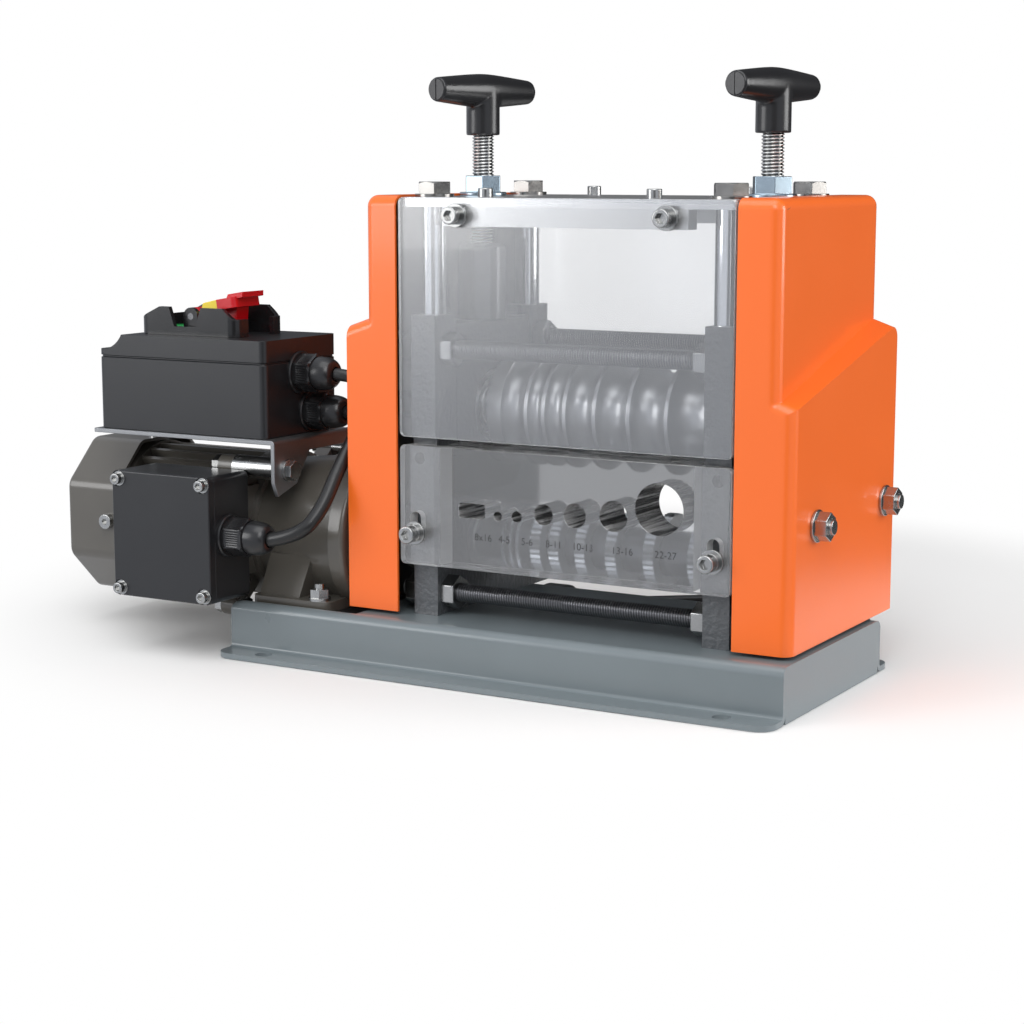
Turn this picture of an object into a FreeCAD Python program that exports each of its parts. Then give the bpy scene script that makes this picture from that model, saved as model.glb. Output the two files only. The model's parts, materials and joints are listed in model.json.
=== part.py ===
import FreeCAD, Part
import math
import os
from FreeCAD import Placement, Rotation, Vector

os.makedirs("parts", exist_ok=True)

# Electric wire stripping machine, in millimetres
# The origin is the middle of the four base mounting holes, on the underside of the flanges.
# X runs along the roller shafts, from the motor to the free end. Y runs from the feed side to the back.

X_AXIS = Vector(1, 0, 0)
Y_AXIS = Vector(0, 1, 0)
Z_AXIS = Vector(0, 0, 1)
LEFT = Vector(-1, 0, 0)
FRONT = Vector(0, -1, 0)
DOWN = Vector(0, 0, -1)
BOTH = (-1, 1)
FULL_TURN = 360.0

# How far a cutting form runs past a face, how deep joined forms run into each other, how near counts as the
# same place, and how many radii a whole circle's edge is surely longer than
cut_past = 1.0
joined_in = 1.0
same_place = 0.01
same_direction = 0.9999
round_edge_radii = 5.0

# Middle of the stripping head, seen from above
head_x = 34.5
head_y = 17.5

# Base channel
base_length = 336.0
base_width = 134.0
base_height = 29.0
base_sheet = 3.0
base_bend = 5.0
flange_width = 17.0
flange_corner = 10.0
mount_from_wall = 9.0
mount_from_end = 29.0
mount_hole_radius = 4.75

# Motor shelf
shelf_sheet = 4.0
shelf_skirt = 14.0
shelf_from_end = 5.0
shelf_gap = 1.5

# Side frames
frame_inner = 79.0
frame_thick = 15.0
post_inner = 40.0
post_outer = 62.0
post_top = 192.5
web_top = 91.5
frame_fillet = 13.0
tongue_thick = 5.0
tongue_reach = 4.0
foot_reach = 18.0
foot_thick = 10.0
foot_half_width = 39.0
gusset_thick = 8.0
gusset_height = 31.0
gusset_y = 33.0
foot_bolt_y = 17.0
foot_bolt_in = 8.0
foot_bolt_size = 8.0
foot_corner = 6.0
gusset_from_edge = 2.0
deck_spare = 9.0
bolt_tail = 3.0

# Shafts and bearings
lower_axis_z = 66.0
upper_axis_z = 139.0
shaft_radius = 8.5
bearing_radius = 20.0
bearing_width = 12.0
bearing_lip = 3.0
bearing_ring_share = 3.6
bearing_groove = 0.7
shaft_end_gap = 2.0
roller_core_radius = 12.5
running_gap = 0.05

# Rollers
ring_radius = 20.0
ring_width = 6.0
ring_teeth = 40
ring_tooth_depth = 0.9
cutter_thick = 1.5
cutter_teeth = 48
cutter_pitch = 4.5
cutter_tooth_depth = 1.4
ridge_radius = 30.0
ridge_width = 2.2
roller_left = -66.0
roller_right = 73.5
groove_share = 0.34
groove_deepest = 8.0

# Feed channels of the guide block: the slot, then the round holes from small to large
slot_width = 16.0
slot_height = 8.0
slot_place = -52.5
slot_corner = 1.5
hole_radii = (2.5, 3.0, 5.5, 6.5, 8.0, 13.5)
hole_places = (-36.5, -25.0, -9.0, 9.5, 32.0, 58.0)

# Bearing blocks and screws
block_below = 25.0
block_above = 48.0
guide_gap = 0.3
cup_radius = 13.0
cup_height = 42.0
cup_chamfer = 2.0
collar_radius = 9.0
collar_height = 5.0
collar_from_block = 4.0
turn_gap = 0.3
screw_radius = 6.0
screw_end_chamfer = 1.0
screw_nut_hex = 19.0
screw_nut_height = 9.0
nut_seat_radius = 13.0
nut_seat_height = 2.0
spigot_radius = 9.5
spigot_depth = 7.0
handle_rise = 22.0
handle_socket = 8.0
handle_hub_radius = 9.25
hub_height = 24.0
bar_length = 74.0
bar_mid_radius = 9.2
bar_end_radius = 6.5
bar_waist_share = 0.3
bar_end_chamfer = 1.0
bar_slot_width = 1.6
bar_slot_depth = 1.0
bar_angles = (-102.0, -98.0)

# Columns, top plate and guards
column_y = 51.0
column_radius = 7.0
plate_thick = 5.0
plate_bottom = 250.0
plate_margin = 11.5
plate_inset = 0.5
plate_corner = 4.0
column_bolt_size = 10.0
column_bolt_grip = 12.0
hanger_size = 10.0
hanger_short = 8.0
hanger_near_y = 56.0
hanger_screw_x = 49.0
hanger_screw_spare = 2.0
guard_screw_spare = 1.0
guard_thick = 4.0
guard_inset = 0.4
guard_bottom = 127.5
guard_screw_x = 61.0
guard_screw_drop = 9.2
guard_corner = 3.0

# Guide block
guide_flange = 8.0
guide_core_depth = 28.0
guide_core_gap = 4.0
guide_bottom = 58.0
guide_top = 123.0
guide_screw_x = 88.0
guide_screw_z = 75.5
guide_slot_below = 5.5
guide_slot_above = 11.5
guide_slot_width = 7.0
guide_seat_gap = 0.1
guide_screw_grip = 12.0
guide_spacer_share = 0.8
dowel_radius = 3.25
dowel_z = 115.5
dowel_depth = 9.0

# Tie rods
tie_size = 10.0
tie_heights = (41.0, 174.0)

# Covers
cover_gap = 1.2
cover_depth = 31.6
cover_margin = 5.5
cover_lift = 2.0
cover_over_plate = 1.0
step_low_rise = 122.0
step_high_rise = 156.5
step_in_low_end = 8.7
step_in_high_end = 12.1
step_rise = 3.0
cover_corner = 6.0
cover_sheet = 1.6
cover_corner_least = 1.0
cover_hole_depth = 20.0
stud_size = 8.0
right_studs = ((-40.0, 93.0), (57.0, 93.0))
left_studs = ((-51.0, 143.0), (51.0, 143.0))
stud_grip = 12.0
stud_sleeve_radius = 7.0
stud_tail = 2.0
drive_opening_radius = 25.0

# Motor and gear head
motor_y = -4.5
motor_z = 64.0
gear_right = -97.0
gear_drum_length = 15.0
gear_length = 68.5
gear_drum_radius = 47.5
gear_cone_radius = 45.0
gear_small_radius = 40.0
output_boss_radius = 29.0
output_boss_length = 5.0
gear_rim_round = 3.0
foot_block_bottom = (7.5, 34.5)
foot_block_top = (10.5, 38.5)
foot_block_spread = 51.5
foot_block_top_spread = 41.5
foot_block_height = 28.5
pad_from_left = 5.5
pad_length = 52.0
pad_corner = 5.0
pad_spread = 54.0
pad_thick = 6.0
motor_bolt_size = 6.0
motor_bolt_in = 9.0
motor_bolt_spread = 48.0
fin_length = 81.0
body_core_radius = 38.0
fin_radius = 42.5
fin_thick = 2.4
fin_count = 28
fin_foot = 2.0
bell_length = 14.0
bell_radius = 43.4
end_bell_length = 15.5
ear_spread = 49.2
ear_rise = 40.0
ear_radius = 6.0
ear_web = 7.0
ear_thick = 10.0
ear_bolt_size = 6.0
bell_wall = 8.0
bore_radius = 33.0
stator_inner = 22.0
stator_length = 62.0
rotor_gap = 0.5
rotor_shaft_radius = 6.0
rotor_shaft_in_gear = 9.0
fan_radius = 36.0
fan_hub_radius = 10.0
fan_blades = 7
fan_blade_thick = 2.0
fan_width = 12.0
fan_gap = 6.0
fan_disc_thick = 2.0
fan_disc_inset = 2.0
blade_foot = 2.0
cowl_across = 92.0
cowl_flat = 43.0
cowl_length = 37.5
cowl_gap = 1.0
cowl_rim = 2.5
cowl_sheet = 2.0
cowl_corner = 9.0
cowl_screw_in = 6.5
cowl_screw_grip = 7.0
cowl_screw_head_share = 1.1
vent_width = 4.0
vent_pitch = 9.0
vent_reach = 33.0
output_shaft_radius = 10.0
output_shaft_depth = 40.0
output_bore_spare = 10.0
rotor_bore_spare = 2.0

# Drive coupling
coupling_radius = 18.0
coupling_length = 30.0
coupling_gap = 5.0
set_screw_size = 6.0

# Junction box on the motor
junction_right = -159.3
junction_front = -96.5
junction_bottom = 32.0
junction_length = 67.7
junction_depth = 36.0
junction_height = 71.0
junction_lid = 5.0
junction_corner = 3.0
junction_screw_in = 4.5
lid_screw_grip = 9.0
lid_screw_dish = 1.2
lid_screw_dish_share = 1.15
junction_lid_round = 0.8
junction_pad_margins = (5.0, 8.7, 10.0, 11.0)

# Switch box, its bracket and its controls
box_length = 118.0
box_width = 70.0
box_front = -64.5
box_bottom = 121.5
box_body_height = 42.5
box_lid_height = 12.0
box_corner = 4.0
seam_height = 1.2
seam_inset = 0.8
shoulder_length = 17.0
shoulder_rise = 3.5
shoulder_dip_along = 0.62
shoulder_dip_up = 0.22
bracket_sheet = 2.5
bracket_right = -136.5
bracket_past_box = 7.0
bracket_left_past_box = 3.0
bracket_margin = 2.0
bracket_flange_drop = 23.5
bracket_tip_drop = 31.5
bracket_bay_gap = 1.5
bracket_tip_in = 3.5
bracket_bay_share = 2.5
ear_stud_share = 1.2
bolt_margin = 8.5
standoff_radius = 6.5
collar_length = 70.0
collar_from_right = 27.5
collar_spread = 23.0
collar_wall = 3.0
collar_corner = 7.0
collar_peak = 16.0
collar_low = 10.0
collar_low_end = 9.0
collar_notch = 5.0
collar_mouth = 24.0
collar_slope = 15.0
notch_start = 22.0
notch_slope = 3.5
notch_end = 41.0
collar_fall = 59.5
flap_axis_in = 32.0
flap_axis_rise = 10.5
flap_axis_radius = 2.0
flap_barrel_radius = 5.0
flap_half_width = 12.5
flap_slab_thick = 6.0
flap_slab_low = 1.0
flap_side_gap = 0.5
flap_reach = 30.0
flap_corner = 3.0
flap_arm_thick = 1.5
flap_arm_in = 0.5
flap_tab = 8.0
flap_tab_rise = 2.0
flap_tab_lean = 2.0
flap_tab_past = 4.0
flap_tab_top_past = 4.6
flap_tab_share = 0.8
flap_tilt = 9.5
band_end = 17.0
band_length = 12.5
band_in = 0.5
band_lean = 2.5
band_drop = 0.6
stem_left = 14.0
stem_drop = 9.0
stem_top_length = 12.0
stem_foot = (3.0, 9.0)
stem_share = 0.45
button_radius = 8.0
button_rise = 4.0
button_depth = 7.0
button_gap = 0.35
button_travel = 2.5
button_round = 1.2
start_button_in = 14.0
stop_button_in = 51.0

# Cable glands and cords
gland_hex = 19.0
gland_dome_radius = 9.5
gland_dome_length = 13.0
gland_nut_length = 13.0
gland_boss_radius = 12.0
gland_boss_length = 2.5
gland_dome_round = 4.5
switch_gland_boss = 1.5
switch_gland_nut_length = 11.0
switch_gland_dome_length = 12.0
junction_gland_y = -79.5
junction_gland_z = 69.0
mains_gland_y = -31.0
mains_gland_z = 156.5
motor_gland_y = -20.7
motor_gland_z = 134.0
motor_cord_radius = 4.0
mains_cord_radius = 3.5
coil_middle_x = 80.0
coil_middle_y = 146.0
coil_floor = 0.4
coil_inner_radius = 26.0
coil_gap = 1.3
coil_layer_gap = 1.0
coil_turns_per_layer = 2.5
coil_layers = 2
coil_climb = 0.5
coil_bend = 0.2
coil_step = 0.0005
coil_samples_a_turn = 36
route_corner_share = 0.45
relief_radius = 6.0
relief_length = 22.0
relief_wall = 0.6
plug_length = 30.0
plug_wide = 28.0
plug_high = 20.0
plug_floor = 0.2
plug_neck_share = (0.28, 0.45)
plug_neck_drop = 3.2
plug_shoulder_along = 0.4
plug_shoulder_share = (0.46, 0.95)
pin_length = 15.0
pin_wide = 6.0
pin_thick = 1.5
pin_spread = 6.5
pin_height = 10.0
earth_pin_height = 15.75

# Fasteners
hex_share = 1.65
hex_head_share = 0.64
hex_chamfer_reach = 1.3
hex_chamfer_lift = 0.6
hex_nut_share = 0.8
socket_head_share = 0.78
socket_share = 0.42
socket_head_round = 0.12
washer_share = 1.05
washer_thick = 1.6
washer_thin = 0.8
hole_gap = 0.25
plate_screw_size = 5.0
guard_screw_size = 6.0
guide_screw_size = 6.0
guide_spacer = 2.4
guard_spacer = 1.4
lid_screw_size = 4.0
cowl_screw_size = 4.0

# Sizes that follow from the ones above
frame_middle = frame_inner + frame_thick / 2
frame_outer = frame_inner + frame_thick
channel_floor = lower_axis_z + ring_radius
block_bottom = upper_axis_z - block_below
block_top = upper_axis_z + block_above
guide_back = -post_outer - guide_seat_gap
guide_front = guide_back - guide_flange
deck_under = base_height - base_sheet
shelf_top = deck_under
plate_top = plate_bottom + plate_thick
plate_half_x = frame_middle + plate_margin
plate_half_y = hanger_near_y + hanger_size - plate_inset
guard_half_x = plate_half_x - guard_inset
hanger_half_x = frame_inner - hanger_short
guide_core_half_x = frame_inner - guide_core_gap
guide_slot_bottom = guide_screw_z - guide_slot_below
guide_slot_top = guide_screw_z + guide_slot_above
nut_top = plate_top + nut_seat_height + screw_nut_height
handle_bottom = nut_top + handle_rise
bar_height = handle_bottom + hub_height
cover_near = plate_half_x + cover_gap
cover_far = cover_near + cover_depth
cover_far_low_end = cover_far - step_in_low_end
cover_far_high_end = cover_far - step_in_high_end
cover_half_y = plate_half_y + cover_margin
cover_bottom = base_height + cover_lift
cover_top = plate_top + cover_over_plate
step_low = cover_bottom + step_low_rise
step_high = cover_bottom + step_high_rise
coupling_right = -frame_outer - coupling_gap
coupling_left = coupling_right - coupling_length
coupling_split = (coupling_left + coupling_right) / 2
gear_drum_left = gear_right - gear_drum_length
gear_left = gear_right - gear_length
pad_left = gear_left + pad_from_left
pad_right = pad_left + pad_length
motor_bolt_x = pad_right - motor_bolt_in
right_bell = gear_left - end_bell_length
body_left = right_bell - fin_length
rotor_middle = (body_left + right_bell) / 2
cowl_right = body_left - cowl_gap
cowl_left = cowl_right - cowl_length
cowl_screw_x = cowl_right - cowl_screw_in
junction_x = (junction_right - junction_length, junction_right)
junction_y = (junction_front, junction_front + junction_depth)
junction_z = (junction_bottom, junction_bottom + junction_height)
box_right = bracket_right - bracket_past_box
box_x = (box_right - box_length, box_right)
box_y = (box_front, box_front + box_width)
box_split = box_bottom + box_body_height
box_top = box_split + box_lid_height
shoulder_bottom = box_split + shoulder_rise
bracket_x = (box_x[0] - bracket_left_past_box, bracket_right)
collar_x = (box_right - collar_from_right - collar_length, box_right - collar_from_right)
flap_axis_x = collar_x[0] + flap_axis_in
start_button_x = collar_x[0] + start_button_in
stop_button_x = collar_x[0] + stop_button_in
column_bolt_length = plate_top - post_top + column_bolt_grip
mount_y = base_width / 2 + mount_from_wall
mount_x = base_length / 2 - mount_from_end
deck_left = head_x - frame_outer - foot_reach - deck_spare
foot_bolt_x = frame_outer + foot_reach - foot_bolt_in
motor_bolt_ys = (motor_y - motor_bolt_spread, motor_y + motor_bolt_spread)
hanger_far_y = hanger_near_y + hanger_size
hanger_y = hanger_near_y + hanger_size / 2
guard_screw_z = plate_top - guard_screw_drop
gear_face = gear_right - output_boss_length
control_y = (box_y[0] + box_y[1]) / 2
coil_turns = coil_layers * coil_turns_per_layer + coil_climb
coil_low = mains_cord_radius + coil_floor
layer_rise = 2 * mains_cord_radius + coil_layer_gap


# Routes of the two cords, from where each leaves its gland
motor_cable_points = [(junction_x[1] + gland_boss_length + gland_nut_length + gland_dome_length,
                       junction_gland_y, junction_gland_z),
                      (-111.0, -79.0, 72.5), (-103.5, -68.0, 87.0), (-102.3, -55.0, 106.0),
                      (-102.3, -38.0, 123.0), (-106.0, -24.0, 133.0),
                      (box_x[1] + switch_gland_boss + switch_gland_nut_length + switch_gland_dome_length,
                       motor_gland_y, motor_gland_z)]
mains_lead_points = [(box_x[1] + switch_gland_boss + switch_gland_nut_length + switch_gland_dome_length,
                      mains_gland_y, mains_gland_z),
                     (-108.5, -30.5, 155.5), (-103.3, -18.0, 152.5), (-103.5, 4.0, 147.5),
                     (-104.0, 38.0, 135.5),
                     (-104.5, 72.0, 112.0), (-105.0, 95.0, 77.0), (-104.5, 106.0, 40.0),
                     (-100.0, 113.0, 15.0), (-86.0, 121.0, 4.0), (-60.0, 133.0, 3.8), (-25.0, 154.0, 3.8),
                     (11.0, 182.0, 3.8), (45.0, 196.5, 3.9)]
mains_tail_points = [(57.0, 97.2, 10.8), (33.0, 99.5, 6.4), (11.0, 102.5, 4.7), (-9.0, 103.0, 4.6)]


# Basic forms
def block(x, y, z):
    """A box between three pairs of coordinates."""
    x0, x1 = sorted(x)
    y0, y1 = sorted(y)
    z0, z1 = sorted(z)
    return Part.makeBox(x1 - x0, y1 - y0, z1 - z0, Vector(x0, y0, z0))


def rod(radius, length, start, direction):
    return Part.makeCylinder(radius, length, Vector(*start), direction)


def tube(outer, inner, length, start, direction):
    return rod(outer, length, start, direction).cut(rod(inner, length, start, direction))


def face_of(points):
    """A flat face inside a closed run of straight edges."""
    corners = [Vector(*p) for p in points]
    return Part.Face(Part.makePolygon(corners + corners[:1]))


def prism_x(outline, x0, x1):
    """An outline of (y, z) points carried along X."""
    return face_of([(x0, y, z) for y, z in outline]).extrude(Vector(x1 - x0, 0, 0))


def prism_y(outline, y0, y1):
    """An outline of (x, z) points carried along Y."""
    return face_of([(x, y0, z) for x, z in outline]).extrude(Vector(0, y1 - y0, 0))


def place(shape, start, direction):
    """Turn a form that was made along +Z so that it points along a direction from a point."""
    moved = shape.copy()
    moved.Placement = Placement(Vector(*start), Rotation(Z_AXIS, direction))
    return moved


def hexagon(across, height, start, direction):
    corner = across / 2 / math.cos(math.pi / 6)
    turns = [math.pi / 3 * k for k in range(6)]
    points = [(corner * math.cos(t), corner * math.sin(t), 0) for t in turns]
    return place(face_of(points).extrude(Vector(0, 0, height)), start, direction)


def turned(profile, start, direction):
    """Turn a closed run of (radius, height) points about +Z, and point it along a direction."""
    face = face_of([(r, 0, h) for r, h in profile])
    return place(face.revolve(Vector(0, 0, 0), Z_AXIS, FULL_TURN), start, direction)


def fuse(shapes):
    whole = shapes[0]
    if len(shapes) > 1:
        whole = shapes[0].multiFuse(shapes[1:])
    return whole.removeSplitter()


def edges_along(shape, direction, points):
    """The straight edges that run along a direction through any of the given points."""
    chosen = []
    for edge in shape.Edges:
        straight = isinstance(edge.Curve, Part.Line)
        if straight and abs(edge.Curve.Direction.dot(direction)) > same_direction:
            for point in points:
                away = edge.CenterOfMass - Vector(*point)
                if (away - direction * away.dot(direction)).Length < same_place:
                    chosen.append(edge)
                    break
    return chosen


def round_edges(shape, direction, points, radius):
    return shape.makeFillet(radius, edges_along(shape, direction, points))


def mirrored(shape, side):
    """The shape itself on the right side of the head, or its mirror image on the left."""
    if side > 0:
        return shape
    return shape.mirror(Vector(0, 0, 0), X_AXIS)


def at_head(shape):
    """Carry a form from the head's own middle to its place on the base."""
    moved = shape.copy()
    moved.translate(Vector(head_x, head_y, 0))
    return moved


def save(node, shapes, on_head=False):
    """Write one node, from one solid or from a group of separate solids."""
    solids = []
    for shape in shapes:
        solids += (at_head(shape) if on_head else shape).Solids
    whole = solids[0] if len(solids) == 1 else Part.makeCompound(solids)
    whole.exportStep(f"parts/{node}.step")
    print(f"{node}: {len(solids)} solids, {whole.Volume / 1000:.1f} cm3")


# Fasteners: each is made with its seat at height 0 and its head upwards
def washer(size, start, direction, thick=washer_thick):
    return tube(washer_share * size, size / 2, thick, start, direction)


def hex_nut(size, start, direction, height=None):
    body = hexagon(hex_share * size, height or hex_nut_share * size, start, direction)
    return body.cut(rod(size / 2, 2 * size, start, direction))


def hex_bolt(size, length, lift, start, direction):
    """A hexagon bolt whose head sits a little above the point, on its washer."""
    head = hexagon(hex_share * size, hex_head_share * size, (0, 0, lift), Z_AXIS)
    top = lift + hex_head_share * size
    reach = hex_share * size / 2
    wide = hex_chamfer_reach * reach
    chamfer = turned([(0, lift), (wide, lift), (wide, top - (wide - reach) + hex_chamfer_lift),
                      (reach, top), (0, top)], (0, 0, 0), Z_AXIS)
    shank = rod(size / 2, length + lift, (0, 0, lift), DOWN)
    return place(fuse([head.common(chamfer), shank]), start, direction)


def socket_screw(size, length, lift, start, direction, head_radius=None):
    """A socket head screw with its hexagon socket."""
    radius = head_radius or socket_head_share * size
    head = rod(radius, size, (0, 0, lift), Z_AXIS)
    rim = [e for e in head.Edges
           if e.CenterOfMass.z > lift + size / 2 and e.Length > round_edge_radii * radius]
    head = head.makeFillet(socket_head_round * size, rim)
    socket = hexagon(2 * socket_share * size, size / 2, (0, 0, lift + size / 2), Z_AXIS)
    shank = rod(size / 2, length + lift, (0, 0, lift), DOWN)
    return place(fuse([head, shank]).cut(socket), start, direction)


# Base channel: one bent sheet with a flange along each side and a wall across its right end
def base_channel():
    half = base_width / 2
    inner = half - base_sheet
    edge = half + flange_width
    end = base_length / 2
    outline = [(-edge, 0), (-edge, base_sheet), (-half, base_sheet), (-half, base_height),
               (half, base_height), (half, base_sheet), (edge, base_sheet), (edge, 0),
               (inner, 0), (inner, deck_under), (-inner, deck_under), (-inner, 0)]
    sheet = prism_x(outline, -end, end)
    outer_bends = [(0, side * half, base_height) for side in BOTH]
    outer_bends += [(0, side * inner, 0) for side in BOTH]
    inner_bends = [(0, side * inner, deck_under) for side in BOTH]
    inner_bends += [(0, side * half, base_sheet) for side in BOTH]
    sheet = round_edges(sheet, X_AXIS, outer_bends, base_bend)
    sheet = round_edges(sheet, X_AXIS, inner_bends, base_bend - base_sheet)
    sheet = round_edges(sheet, Z_AXIS, [(x, y, 0) for x in (-end, end) for y in (-edge, edge)], flange_corner)
    lip = inner - (base_bend - base_sheet)
    shelf_bay = block((-end - cut_past, deck_left), (-lip, lip),
                      (deck_under - cut_past, base_height + cut_past))
    corner = block((-end - cut_past, -end + base_bend), (-edge, edge),
                   (base_height - base_bend, base_height + cut_past))
    corner = corner.cut(rod(base_bend, 2 * edge, (-end + base_bend, -edge, base_height - base_bend), Y_AXIS))
    end_wall = block((end - base_sheet, end), (-inner, inner), (0, deck_under))
    end_wall = round_edges(end_wall, X_AXIS, inner_bends[:2], base_bend - base_sheet)
    channel = fuse([sheet.cut(shelf_bay).cut(corner), end_wall])
    holes = [rod(mount_hole_radius, 2 * base_sheet, (sx * mount_x, sy * mount_y, -cut_past), Z_AXIS)
             for sx in BOTH for sy in BOTH]
    bolt_hole = foot_bolt_size / 2 + hole_gap
    holes += [at_head(rod(bolt_hole, base_height, (sx * foot_bolt_x, sy * foot_bolt_y, cut_past), Z_AXIS))
              for sx in BOTH for sy in BOTH]
    return channel.cut(holes)


# Motor shelf: a black plate between the walls of the base, under the gear head's foot
def motor_shelf():
    inner = base_width / 2 - base_sheet
    web = inner - shelf_sheet
    under = shelf_top - shelf_sheet
    outline = [(-inner, shelf_top - shelf_skirt), (-inner, shelf_top), (inner, shelf_top),
               (inner, shelf_top - shelf_skirt), (web, shelf_top - shelf_skirt), (web, under),
               (-web, under), (-web, shelf_top - shelf_skirt)]
    shelf = prism_x(outline, -base_length / 2 + shelf_from_end, deck_left - shelf_gap)
    shelf = round_edges(shelf, X_AXIS, [(0, side * inner, shelf_top) for side in BOTH], base_bend)
    holes = [rod(motor_bolt_size / 2 + hole_gap, base_height, (motor_bolt_x, y, cut_past), Z_AXIS)
             for y in motor_bolt_ys]
    return shelf.cut(holes)


# Side frames: cast plates whose two posts guide a bearing block above a fixed bearing
def side_frame(feed_side, studs):
    """The right frame; feed_side is -1 where its guide screws face the front, or 1 for the back."""
    x = (frame_inner, frame_outer)
    outline = [(-post_outer, base_height), (-post_outer, post_top), (-post_inner, post_top),
               (-post_inner, web_top), (post_inner, web_top), (post_inner, post_top),
               (post_outer, post_top), (post_outer, base_height)]
    plate = prism_x(outline, *x)
    plate = round_edges(plate, X_AXIS, [(0, side * post_inner, web_top) for side in BOTH], frame_fillet)
    tongues = [block((frame_middle - tongue_thick / 2, frame_middle + tongue_thick / 2),
                     (side * (post_inner - tongue_reach), side * (post_inner + joined_in)),
                     (web_top + frame_fillet, post_top)) for side in BOTH]
    foot_top = base_height + foot_thick
    foot_edge = frame_outer + foot_reach
    foot = block((frame_outer, foot_edge), (-foot_half_width, foot_half_width), (base_height, foot_top))
    foot = round_edges(foot, Z_AXIS, [(foot_edge, side * foot_half_width, 0) for side in BOTH], foot_corner)
    rib = [(frame_outer, foot_top), (foot_edge - gusset_from_edge, foot_top),
           (frame_outer, foot_top + gusset_height)]
    ribs = [prism_y(rib, side * gusset_y - gusset_thick / 2, side * gusset_y + gusset_thick / 2)
            for side in BOTH]
    cast = fuse([plate, foot] + tongues + ribs)
    across = 3 * frame_thick
    holes = [rod(bearing_radius, bearing_width, (frame_inner, 0, lower_axis_z), X_AXIS),
             rod(bearing_radius - bearing_lip, across, (frame_inner, 0, lower_axis_z), X_AXIS)]
    for side in BOTH:
        holes += [rod(tie_size / 2 + hole_gap, across, (frame_inner - cut_past, side * column_y, z), X_AXIS)
                  for z in tie_heights]
        holes.append(rod(column_bolt_size / 2, column_bolt_grip, (frame_middle, side * column_y, post_top),
                         DOWN))
        holes.append(rod(foot_bolt_size / 2 + hole_gap, 2 * foot_thick,
                         (foot_bolt_x, side * foot_bolt_y, base_height - cut_past), Z_AXIS))
    holes += [rod(stud_size / 2, stud_grip, (frame_outer, y, z), LEFT) for y, z in studs]
    inward = Y_AXIS * -feed_side
    face_y = feed_side * post_outer
    holes.append(rod(guide_screw_size / 2, guide_screw_grip, (guide_screw_x, face_y, guide_screw_z), inward))
    holes.append(rod(dowel_radius, dowel_depth, (guide_screw_x, face_y, dowel_z), inward))
    return cast.cut(holes)


def left_side_frame():
    frame = side_frame(1, left_studs)
    frame.rotate(Vector(0, 0, 0), Z_AXIS, FULL_TURN / 2)
    return frame


def frame_bolts():
    """Bolts down through the frame feet and the gear head's foot, with washers and nuts underneath."""
    pieces = []
    foot_top = base_height + foot_thick
    for sx in BOTH:
        for sy in BOTH:
            x, y = head_x + sx * foot_bolt_x, head_y + sy * foot_bolt_y
            grip = foot_thick + base_sheet
            pieces += bolt_and_nut(foot_bolt_size, grip, (x, y, foot_top), DOWN)
    for y in motor_bolt_ys:
        grip = pad_thick + shelf_sheet
        pieces += bolt_and_nut(motor_bolt_size, grip, (motor_bolt_x, y, shelf_top - shelf_sheet), Z_AXIS)
    return pieces


def bolt_and_nut(size, grip, head_seat, through):
    """A bolt from its head's seat through a grip, with a washer and a nut on the far side."""
    seat = Vector(*head_seat)
    far = seat + through * grip
    nut_seat = far + through * washer_thick
    tail = washer_thick + hex_nut_share * size + bolt_tail
    return [hex_bolt(size, grip + tail, washer_thick, seat, through * -1),
            washer(size, seat, through * -1),
            washer(size, far, through),
            hex_nut(size, nut_seat, through)]


# Ball bearings of the two roller shafts
def ball_bearing(start, direction):
    groove = bearing_groove
    ring = (bearing_radius - shaft_radius) / bearing_ring_share
    profile = [(shaft_radius, 0), (shaft_radius + ring, 0), (shaft_radius + ring, groove),
               (bearing_radius - ring, groove), (bearing_radius - ring, 0), (bearing_radius, 0),
               (bearing_radius, bearing_width), (bearing_radius - ring, bearing_width),
               (bearing_radius - ring, bearing_width - groove), (shaft_radius + ring, bearing_width - groove),
               (shaft_radius + ring, bearing_width), (shaft_radius, bearing_width)]
    return turned(profile, start, direction)


def shaft_bearings(z):
    return [ball_bearing((side * frame_inner, 0, z), X_AXIS * side) for side in BOTH]


# Tie rods across the frames, with a nut on each face of each frame
def tie_rods():
    reach = frame_outer + washer_thick + tie_size
    return [rod(tie_size / 2, 2 * reach, (-reach, side * column_y, z), X_AXIS)
            for side in BOTH for z in tie_heights]


def tie_rod_nuts():
    nuts = []
    for side in BOTH:
        for z in tie_heights:
            for end in BOTH:
                nuts.append(hex_nut(tie_size, (end * frame_outer, side * column_y, z), X_AXIS * end))
                nuts.append(hex_nut(tie_size, (end * frame_inner, side * column_y, z), X_AXIS * -end))
    return nuts


# Spacer columns, top plate and the nuts that the pressure screws run in
def columns():
    return [tube(column_radius, column_bolt_size / 2 + hole_gap, plate_bottom - post_top,
                 (sx * frame_middle, sy * column_y, post_top), Z_AXIS) for sx in BOTH for sy in BOTH]


def top_plate():
    plate = block((-plate_half_x, plate_half_x), (-plate_half_y, plate_half_y), (plate_bottom, plate_top))
    corners = [(sx * plate_half_x, sy * plate_half_y, 0) for sx in BOTH for sy in BOTH]
    plate = round_edges(plate, Z_AXIS, corners, plate_corner)
    holes = []
    start_z = plate_bottom - plate_thick
    through = 3 * plate_thick
    for sx in BOTH:
        holes.append(rod(spigot_radius, through, (sx * frame_middle, 0, start_z), Z_AXIS))
        for sy in BOTH:
            holes.append(rod(column_bolt_size / 2 + hole_gap, through,
                             (sx * frame_middle, sy * column_y, start_z), Z_AXIS))
            holes.append(rod(plate_screw_size / 2 + hole_gap, through,
                             (sx * hanger_screw_x, sy * hanger_y, start_z), Z_AXIS))
    return plate.cut(holes)


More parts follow.
